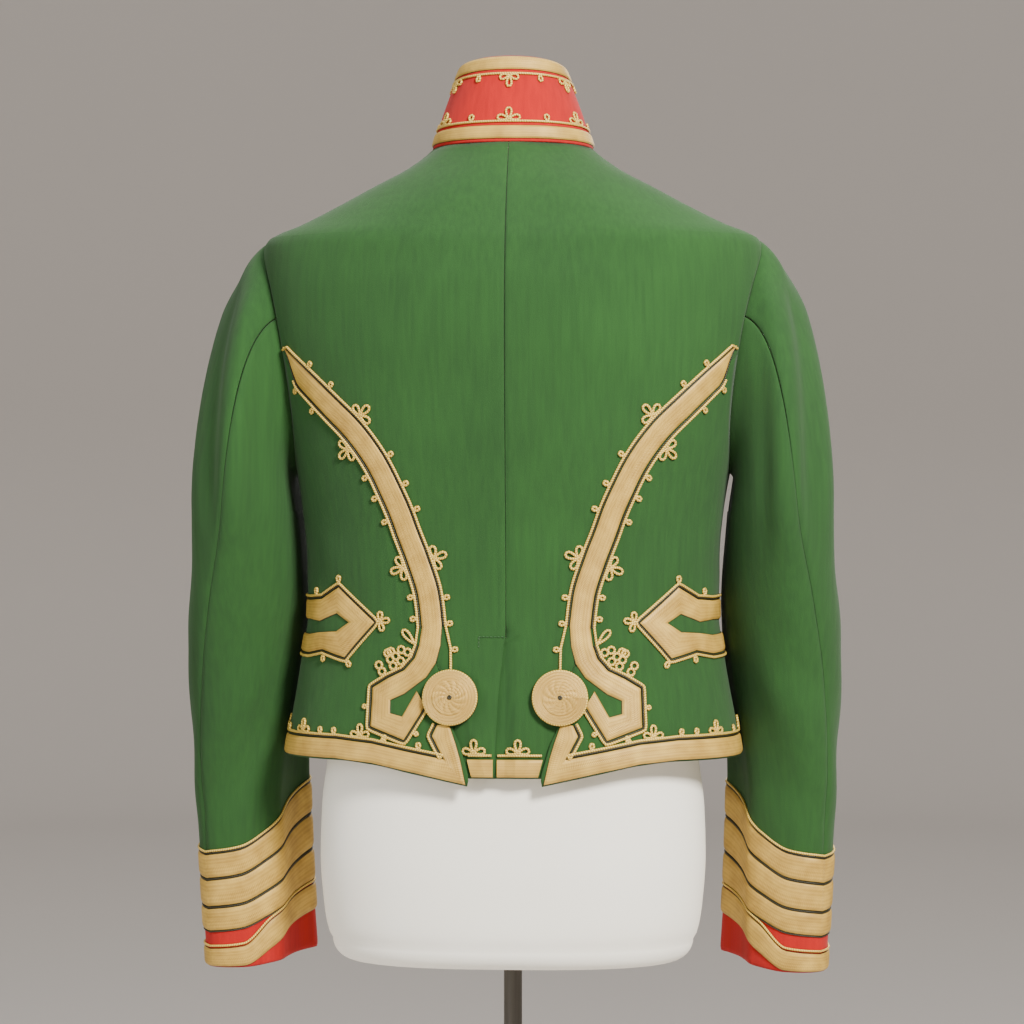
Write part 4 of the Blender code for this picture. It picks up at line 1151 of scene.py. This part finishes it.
def offset_edge(rows, second, gap):
    """First or second edge of a lace's rows, moved away from the other one by a gap."""
    edge, other = (rows[:, 2:], rows[:, :2]) if second else (rows[:, :2], rows[:, 2:])
    run = unit(np.gradient(edge, axis=0))
    aside = np.stack((-run[:, 1], run[:, 0]), -1)
    sign = np.sign(np.sum(aside * (edge - other), axis=1))
    sign[sign == 0] = 1
    return edge + aside * sign[:, None] * gap


def at_height(path, height):
    """Index of the path's point nearest to a height."""
    return int(np.argmin(np.abs(path[:, 1] - height)))


def lay(path, out=CORD_LIFT, dip=0.0):
    """Girths and heights to points and normals on the cloth."""
    girth, height = path.T
    turn = turn_at(girth, height)
    points = torso(turn, height, out + swell(turn, height) + dip)
    return points, (torso(turn, height, 0.001) - torso(turn, height)) / 0.001


def outward(path, index, away):
    """Direction square to the path at a point, away from another point."""
    run = path[min(index + 2, len(path) - 1)] - path[max(index - 2, 0)]
    side = np.array((-run[1], run[0])) / np.hypot(*run)
    return side if side @ (path[index] - away) > 0 else -side


def ornaments(path, other, eyes, trefoils):
    """Eyes and trefoils on a cord at these heights, away from the other cord."""
    loops = []
    for heights, shape in ((eyes, eye), (trefoils, trefoil)):
        for height in heights:
            spot = at_height(path, height)
            loops += shape(path[spot], outward(path, spot, other[at_height(other, height)]))
    return loops


def seam_cords():
    """Cords and their loops along the curved side-back lace and its angular loop."""
    rows = seam_band()
    tail = ((0.0465, 0.985), (0.0462, 0.972), (0.0462, 0.966))
    inner = even_path(np.concatenate((offset_edge(rows, True, CORD_GAP), tail)))
    outer = even_path(offset_edge(rows[6:], False, CORD_GAP))
    flat = [inner, outer]
    flat += ornaments(inner, outer, (1.2235, 1.2061, 1.1474, 1.1229, 1.1016, 1.0268, 1.0055, 0.9842),
                      (1.1803, 1.0600))
    flat += ornaments(outer, inner, (1.2068, 1.1894, 1.1306, 1.1126, 1.0926, 1.0281, 1.0094),
                      (1.1552, 1.0539))
    loop = fine_rows(LOOP_ROWS)
    outside = offset_edge(loop, False, CORD_GAP)
    flat.append(even_path(np.concatenate((outer[-1:], outside))))
    for share in (0.52, 0.70, 0.86):
        index = int(len(outside) * share)
        flat += eye(outside[index], outward(outside, index, loop[index, 2:]), 0.8)
    for row, count in enumerate((2, 3, 3, 2)):
        index = int(len(outside) * (0.08 + 0.085 * row))
        away = outward(outside, index, loop[index, 2:])
        flat += [ring_loop(outside[index] + away * place, RING_RADIUS)
                 for place in RING_PLACES[:count]]
    away = outward(outside, 2, loop[2, 2:])
    flat.append(petal(outside[0] + away * 0.001, rotated(away, 28), 0.0150, 0.0034))
    return flat


def side_loop_cords():
    """Cord round the pointed side loop, with a trefoil at each point and eyes between."""
    edge = offset_edge(fine_rows(side_loop_rows()), False, CORD_GAP)
    edge[-1] = edge[0]
    edge = even_path(edge)
    flat = [edge]
    centre = np.array((girth_at(QUARTER, SIDE_LOOP_HEIGHT), SIDE_LOOP_HEIGHT))
    for girth, height, loops in ((0.108, 1.006, 3), (0.1504, 1.0435, 1), (0.142, 0.9732, 1),
                                 (0.1703, 0.9745, 1), (0.1829, 1.040, 1)):
        for place in (girth, 2 * centre[0] - girth):
            index = int(np.argmin(np.hypot(*(edge - (place, height)).T)))
            away = outward(edge, index, centre)
            flat += trefoil(edge[index], away, 0.8) if loops == 3 else eye(edge[index], away, 1.1)
    return flat


def hem_cords(left):
    """Cord above the hem lace, with trefoils and eyes by girth."""
    top = even_path(offset_edge(fine_rows(hem_rows(left)), True, CORD_GAP))
    flat = [top]
    away = np.array((0.0, 1.0))
    for girth, loops in ((0.0732, 1), (0.1034, 1), (0.1265, 3), (0.1525, 1), (0.1681, 1),
                         (0.1914, 3), (0.2250, 1), (0.2560, 3), (0.2900, 1), (0.3200, 3),
                         (0.3500, 1), (0.3800, 3), (0.4100, 1), (0.4400, 3)):
        index = int(np.argmin(np.abs(top[:, 0] - girth) + 10 * (top[:, 1] > 0.915)))
        flat += trefoil(top[index], away, 0.85) if loops == 3 else eye(top[index], away)
    return flat


def torso_cords(left):
    """Gold cords, and dark tubes of part stitching and part painted shade, along the laces on the body.
    """
    paths = [lay(path) for path in seam_cords() + side_loop_cords() + hem_cords(left)]
    paths += [lay(path, dip=back_dip(*path.T, left)) for path in back_cord_paths(left)]
    tubes(f"body cord {SIDES[left]}", paths, CORD_RADIUS, CORD, left)
    # Dark tubes along the laces' edges: part stitching, part painted shade.
    dark = [lay(even_path(path), out=0.0007) for path in stitch_and_shade_lines(left)]
    tubes(f"dark line {SIDES[left]}", dark, 0.0008, DARK_CORD_AND_SHADE, left, sides=6)


def back_cord_paths(left):
    """Cord and one trefoil above the short lace on a back panel's hem."""
    level = BACK_HEM + HEM_LACE_ABOVE_HEM + BACK_HEM_LACE + CORD_GAP
    low, high = (0.0110, 0.0310) if left else (-0.0060, 0.0310)
    line = np.stack((np.linspace(low, high, 40), np.full(40, level)), -1)
    girth = 0.0262 if left else 0.0110
    return [line, *trefoil(np.array((girth, level)), np.array((0.0, 1.0)), 0.95)]


def stitches():
    """Row of stitches across the head of the vent and down beside its edge."""
    paths = []
    level = VENT_TOP + 0.001
    places = [((girth, level), (girth + 0.0022, level))
              for girth in np.arange(0.0012, 0.022, 0.0032)]
    places += [((0.0226, z), (0.0226, z - 0.0022)) for z in np.arange(level, 0.985, -0.0032)]
    for start, end in places:
        path = np.linspace(start, end, 6)
        paths.append(lay(path, out=0.0002))
    tubes("vent stitches", paths, 0.0006, THREAD, True, sides=6)


def stitch_and_shade_lines(left):
    """Dark tubes between the laces and their cords: part stitched edge and part painted shade."""
    seam = seam_band()
    edges = ((seam, False), (seam, True), (fine_rows(LOOP_ROWS), False),
             (fine_rows(side_loop_rows()), False), (fine_rows(hem_rows(left)), True))
    return [offset_edge(rows, second, LINE_GAP) for rows, second in edges]


def rosette_piece(left):
    """Flat button wound with gold cord round a dark eye, with a dark ring of painted shadow round its
    foot.
    """
    side = SIDES[left]
    radii = np.concatenate((np.linspace(0, ROSETTE_RADIUS, 76), np.full(6, ROSETTE_RADIUS)))
    dome = ROSETTE_THICK * (1.02 - 0.16 * (radii / ROSETTE_RADIUS) ** 4)
    ridge = 0.00055 * np.abs(np.sin(math.pi * radii / ROSETTE_PITCH)) ** 0.7
    height = dome + ridge - 0.0008
    height[:8] -= 0.0011 * (1 - radii[:8] / radii[8])
    height[76:] = np.linspace(height[75], 0.0, 7)[1:]
    around = np.linspace(0, TAU, 97)[:-1]
    foot = on_jacket(ROSETTE_GIRTH, ROSETTE_HEIGHT, ROSETTE_LIFT)
    normal = unit(on_jacket(ROSETTE_GIRTH, ROSETTE_HEIGHT, ROSETTE_LIFT + 0.01) - foot)
    aside = unit(np.cross((0.0, 0.0, 1.0), normal))
    upward = np.cross(normal, aside)
    ring = circle(around, aside, upward)
    swirl = np.abs(np.sin(6 * around[None] + 2.2 * radii[:, None] / ROSETTE_RADIUS * math.pi)) ** 0.6
    petals = 0.0009 * swirl * ramp(0.1, 0.35, radii / ROSETTE_RADIUS)[:, None]
    petals = petals * ramp(0.72, 0.62, radii / ROSETTE_RADIUS)[:, None]
    relief = height[:, None] + petals
    points = foot + radii[:, None, None] * ring + relief[..., None] * normal
    uv = np.stack(np.broadcast_arrays(radii[:, None] * around[None], radii[:, None] / ROSETTE_PITCH), -1)
    piece = grid_piece(f"wound rosette {side}", points[::-1], uv[::-1], (SPIRAL,), left, True)
    finish_piece(piece, (f"rosette_{side}",))
    eye_ring = circle(np.linspace(0, TAU, 30), aside, upward)
    eye_path = foot + eye_ring * 0.0012 + normal * ROSETTE_THICK * 0.9
    # Dark ring round the rosette's foot: a painted shadow where it stands off the cloth.
    foot_shadow_ring = foot + eye_ring * (ROSETTE_RADIUS + 0.0006) + normal * 0.0006
    tubes(f"rosette eye {side}", [(eye_path, normal), (foot_shadow_ring, normal)], 0.0009, DARK_CORD_AND_SHADE, left)
    rim = foot + circle(np.linspace(0, TAU, 130), aside, upward) * ROSETTE_RADIUS
    rim = rim + normal * ROSETTE_THICK * 0.55
    tubes(f"rosette rim {side}", [(rim, normal)], 0.0012, CORD, left)


def on_jacket(girth, height, out=0.0):
    return torso(turn_at(girth, height), height, out)


def collar_cords():
    """Cord with trefoils and eyes inside both of the collar's laces."""
    wide = COLLAR_LACE / COLLAR_RISE
    half = math.pi - FRONT_STEP
    inset = 0.045               # from a lace to its cord, as a share of the collar's height
    low = COLLAR_LACE_LOW + wide + inset
    high = COLLAR_LACE_HIGH - wide - inset
    paths = []

    def lay_collar(points):
        turn, share = points[:, 0] / COLLAR_RADIUS, points[:, 1] / COLLAR_RISE
        place = collar_point(turn, share, 0.0010)
        away = collar_point(turn, share, 0.0020)
        return place, unit(away - place)

    for share in (low, high):
        line = np.stack((np.linspace(-half, half, 340) * COLLAR_RADIUS,
                         np.full(340, share * COLLAR_RISE)), -1)
        paths.append(lay_collar(line))
    for number in range(-5, 6):
        turn = number * 0.5
        for share, way in ((low, 1.0), (high, -1.0)):
            root = np.array((turn * COLLAR_RADIUS, share * COLLAR_RISE))
            direction = np.array((0.0, way))
            loops = trefoil(root, direction, 0.8) if number % 2 == 0 else eye(root, direction)
            paths += [lay_collar(loop) for loop in loops]
    tubes("collar cord", paths, 0.0010, CORD)


def sleeve_cords(left):
    """Cord above the highest cuff lace, and dark rings of painted shade between the laces."""
    side = SIDES[left]
    around = np.linspace(0, TAU, 200)

    def ring_path(line, lift, out):
        height = cuff_line(line, around) + lift
        points = arm_grid(around, height, height, 1, out)[1]
        away = arm_grid(around, height, height, 1, out + 0.001)[1]
        return points, unit(away - points)

    tubes(f"cuff cord {side}", [ring_path(1, 0.0028, 0.0010), ring_path(5, 0.0022, 0.0010)],
          0.0010, CORD, left)
    # Dark rings at the cuff laces' edges: painted shade on the cloth between the laces.
    lines = [ring_path(1, 0.0010, 0.0005), ring_path(2, -0.0008, 0.0006),
             ring_path(3, -0.0008, 0.0006), ring_path(4, -0.0006, 0.0005)]
    tubes(f"cuff line {side}", lines, 0.0007, DARK_CORD_AND_SHADE, left, sides=6)


# Buttons, form and stand
def lathe(name, profile, centre, normal, finish, steps=48):
    """Turned solid: a profile of radii and heights round an axis."""
    profile = np.array(profile)
    around = np.linspace(0, TAU, steps + 1)[:-1]
    aside = unit(np.cross((1.0, 0.0, 0.0) if abs(normal[0]) < 0.9 else (0.0, 1.0, 0.0), normal))
    upward = np.cross(normal, aside)
    ring = circle(around, aside, upward)
    points = centre + profile[:, 0][:, None, None] * ring + profile[:, 1][:, None, None] * normal
    return grid_piece(name, points, mesh_uv(points), (finish,), ring=True)


def button_pieces():
    """Domed buttons down the centre front, set on the edge's own rows."""
    side_rows = np.linspace(HEM[-2, 1], armhole_height(math.pi), 8)[:-1]
    arm_rows = armhole_height(math.pi + np.arange(11) * ARMHOLE_STEP)
    rows = to_centre(np.concatenate((side_rows, arm_rows, SHOULDER_HEIGHTS)))
    edge = torso(math.pi, rows)
    angle = np.linspace(0, 1, 14)
    dome = [(BUTTON_RADIUS * 0.94 * math.cos(a * QUARTER),
             0.0012 + BUTTON_RADIUS * 0.40 * math.sin(a * QUARTER)) for a in angle]
    profile = [(BUTTON_RADIUS * 0.6, 0.0), (BUTTON_RADIUS, 0.0), (BUTTON_RADIUS, 0.0011),
               (BUTTON_RADIUS * 0.96, 0.0013)] + dome
    profile[-1] = (0.00001, profile[-1][1])
    for number in range(BUTTON_COUNT):
        height = BUTTON_LOWEST + number * BUTTON_PITCH
        foot = np.array([np.interp(height, rows, edge[:, axis]) for axis in range(3)])
        row = int(np.searchsorted(rows, height))
        outwards = unit(np.cross((-1.0, 0.0, 0.0), edge[row] - edge[row - 1]))
        piece = lathe(f"domed button {number + 1}", profile, foot + outwards * BUTTON_LIFT, outwards,
                      BRASS)
        finish_piece(piece, (f"button_{number + 1}",))


def form_piece():
    """Limbless form: a smooth padded body with a flat underside and a capped neck."""
    turns = np.arange(144) / 144 * TAU
    rings = []
    for angle in np.radians(np.linspace(0, 90, 12)):
        height = FORM_FLOOR + FORM_EDGE * (1 - math.cos(angle))
        ring = oval(FORM, turns, FORM[0, 0])
        ring = ring - unit(ring * (1, 1, 0)) * FORM_EDGE * (1 - math.sin(angle))
        ring[:, 2] = height
        rings.append(ring)
    rings += [oval(FORM, turns, height) for height in np.linspace(FORM[0, 0], FORM[-1, 0], 64)[1:]]
    chest = [armhole_height(step * ARMHOLE_STEP) for step in (3, 2, 1, 0)]
    levels = np.array((*chest, *SHOULDER_HEIGHTS[:-1]))
    fine = np.unique(np.concatenate([np.linspace(low, high, 5)
                                     for low, high in zip(levels[:-1], levels[1:])]))
    rings += [torso(turns, np.full_like(turns, height), -CLOTH - FORM_INSET) for height in fine]
    rings += [oval(FORM_NECK, turns, height)
              for height in np.linspace(FORM_NECK[0, 0], FORM_NECK[-1, 0], 14)]
    rings = np.array(rings)
    low = rings[0] * (1, 1, 0)
    for share in (0.75, 0.5, 0.25, 0.002):
        rings = np.concatenate(((low * share + (0, 0, FORM_FLOOR))[None], rings))
    high = rings[-1].copy()
    middle = high.mean(0)
    for share in (0.97, 0.8, 0.5, 0.2, 0.002):
        ring = middle + (high - middle) * share
        ring[:, 2] = high[:, 2] + 0.0006 * (1 - share)
        rings = np.concatenate((rings, ring[None]))
    piece = grid_piece("form cover", rings, mesh_uv(rings), (COVER,), ring=True)
    finish_piece(piece, ("dress_form",))


def stand_pieces():
    """Steel pole, and a round base with a boss."""
    top = FORM_FLOOR - SEAM_GAP
    profile = [(0.0001, BOSS_HEIGHT), (POLE_RADIUS, BOSS_HEIGHT), (POLE_RADIUS, top), (0.0001, top)]
    up = np.array((0.0, 0.0, 1.0))
    piece = lathe("steel pole", profile, np.zeros(3), up, STEEL, 64)
    sharpen(piece)
    finish_piece(piece, ("pole",))
    round_edge = [(BASE_RADIUS - 0.003 + 0.003 * math.sin(a), BASE_THICK - 0.003 + 0.003 * math.cos(a))
                  for a in np.linspace(0, QUARTER, 8)]
    profile = [(0.0001, 0.0), (BASE_RADIUS - 0.001, 0.0), (BASE_RADIUS, 0.001), *round_edge[::-1],
               (BOSS_RADIUS + 0.014, BASE_THICK), (BOSS_RADIUS + 0.007, BASE_THICK + 0.002),
               (BOSS_RADIUS + 0.003, BASE_THICK + 0.006), (BOSS_RADIUS + 0.001, BASE_THICK + 0.012),
               (BOSS_RADIUS, BOSS_HEIGHT - 0.004), (BOSS_RADIUS - 0.001, BOSS_HEIGHT - 0.001),
               (BOSS_RADIUS - 0.004, BOSS_HEIGHT), (0.0001, BOSS_HEIGHT)]
    piece = lathe("round base", profile, np.zeros(3), up, STEEL, 128)
    sharpen(piece)
    finish_piece(piece, ("base",))


def sharpen(piece):
    piece.data.set_sharp_from_angle(angle=math.radians(35))


for on_left in (False, True):
    back_cloth(on_left)
    side_back_cloth(on_left)
    front_cloth(on_left)
    sleeve_cloth("top", 0.0, on_left)
    sleeve_cloth("under", math.pi, on_left)
    cuff_cloth(on_left)
    band("side_back", np.concatenate((seam_band(), fine_rows(LOOP_ROWS))), on_left, (0.019, 0.56))
    band("hem", fine_rows(hem_rows(on_left)), on_left, (0.018, 0.56))
    band("back_hem", fine_rows(back_hem_rows(on_left), 0.001), on_left, (0.017, 0.04))
    band("side_loop", fine_rows(side_loop_rows()), on_left, (0.021, 0.42))
    torso_cords(on_left)
    sleeve_cords(on_left)
    rosette_piece(on_left)
stitches()
collar_cloth()
collar_cords()
button_pieces()
form_piece()
stand_pieces()


# Backdrop, lights and camera
def plain_material(name, colour, roughness=0.95):
    made = Shader(name, roughness)
    made.colour(made.mix(made.noise(1.5, 1.0), colour, tuple(part * 0.985 for part in colour)))
    return made.material


BOWL_FLOOR = 8.0
BOWL_BEND = 1.5
BOWL_TOP = 7.0
BOWL_LEVEL = -0.0005        # its floor, just under the base


def backdrop():
    """Pale round bowl: a floor that curves up into a wall."""
    profile = [(0.001, BOWL_LEVEL), (BOWL_FLOOR, BOWL_LEVEL)]
    profile += [(BOWL_FLOOR + BOWL_BEND * math.sin(a), BOWL_BEND * (1 - math.cos(a)) + BOWL_LEVEL)
                for a in np.linspace(0, QUARTER, 16)[1:]]
    profile.append((BOWL_FLOOR + BOWL_BEND, BOWL_TOP))
    points = np.array(profile)
    around = np.linspace(0, TAU, 97)[:-1]
    ring = np.stack((np.cos(around), np.sin(around)), -1)
    grid = np.concatenate((points[:, 0][:, None, None] * ring[None],
                           np.broadcast_to(points[:, 1][:, None, None], (len(points), 96, 1))), -1)
    finish = plain_material("backdrop", (0.600, 0.560, 0.520))
    piece = grid_piece("backdrop", grid, mesh_uv(grid), (finish,), ring=True)


def area_light(name, place, aim, size, power, colour=(1, 1, 1)):
    light = bpy.data.lights.new(name, "AREA")
    light.shape = "RECTANGLE"
    light.size, light.size_y = size
    light.energy = power
    light.color = colour
    lamp = bpy.data.objects.new(name, light)
    bpy.context.scene.collection.objects.link(lamp)
    lamp.location = place
    direction = np.array(aim) - np.array(place)
    flat = math.hypot(direction[0], direction[1])
    lamp.rotation_euler = (math.atan2(flat, -direction[2]), 0,
                           math.atan2(direction[1], direction[0]) - QUARTER)
    lamp.visible_camera = False


backdrop()
area_light("key", (1.3, -2.0, 2.5), (0, 0, 1.1), (0.6, 0.6), 165, (1.0, 0.97, 0.93))
area_light("fill", (-1.9, -1.7, 1.5), (0, 0, 1.0), (1.4, 1.6), 26, (0.95, 0.97, 1.0))
area_light("top", (0.0, 0.3, 2.9), (0, 0, 1.0), (1.6, 1.2), 22)
area_light("behind", (0.6, 2.2, 1.9), (0, 0, 1.0), (1.5, 1.5), 26)
world = bpy.data.worlds.new("pale room")
world.use_nodes = True
background = world.node_tree.nodes["Background"]
background.inputs["Color"].default_value = (0.86, 0.85, 0.84, 1)
background.inputs["Strength"].default_value = 0.95
bpy.context.scene.world = world

CAMERA_SWING = math.radians(3.5)
CAMERA_DISTANCE = 2.6
CAMERA_HEIGHT = 1.10
SENSOR_WIDTH = 36           # millimetres
PICTURE_WIDTH = 1024        # pixels
FOCAL_LENGTH = 2961         # pixels
camera_data = bpy.data.cameras.new("camera")
camera_data.sensor_width = SENSOR_WIDTH
camera_data.lens = SENSOR_WIDTH * FOCAL_LENGTH / PICTURE_WIDTH
camera_data.shift_x = -1 / PICTURE_WIDTH
camera = bpy.data.objects.new("camera", camera_data)
bpy.context.scene.collection.objects.link(camera)
camera.location = (CAMERA_DISTANCE * math.sin(CAMERA_SWING),
                   -CAMERA_DISTANCE * math.cos(CAMERA_SWING), CAMERA_HEIGHT)
camera.rotation_euler = (QUARTER, 0, CAMERA_SWING)
bpy.context.scene.camera = camera
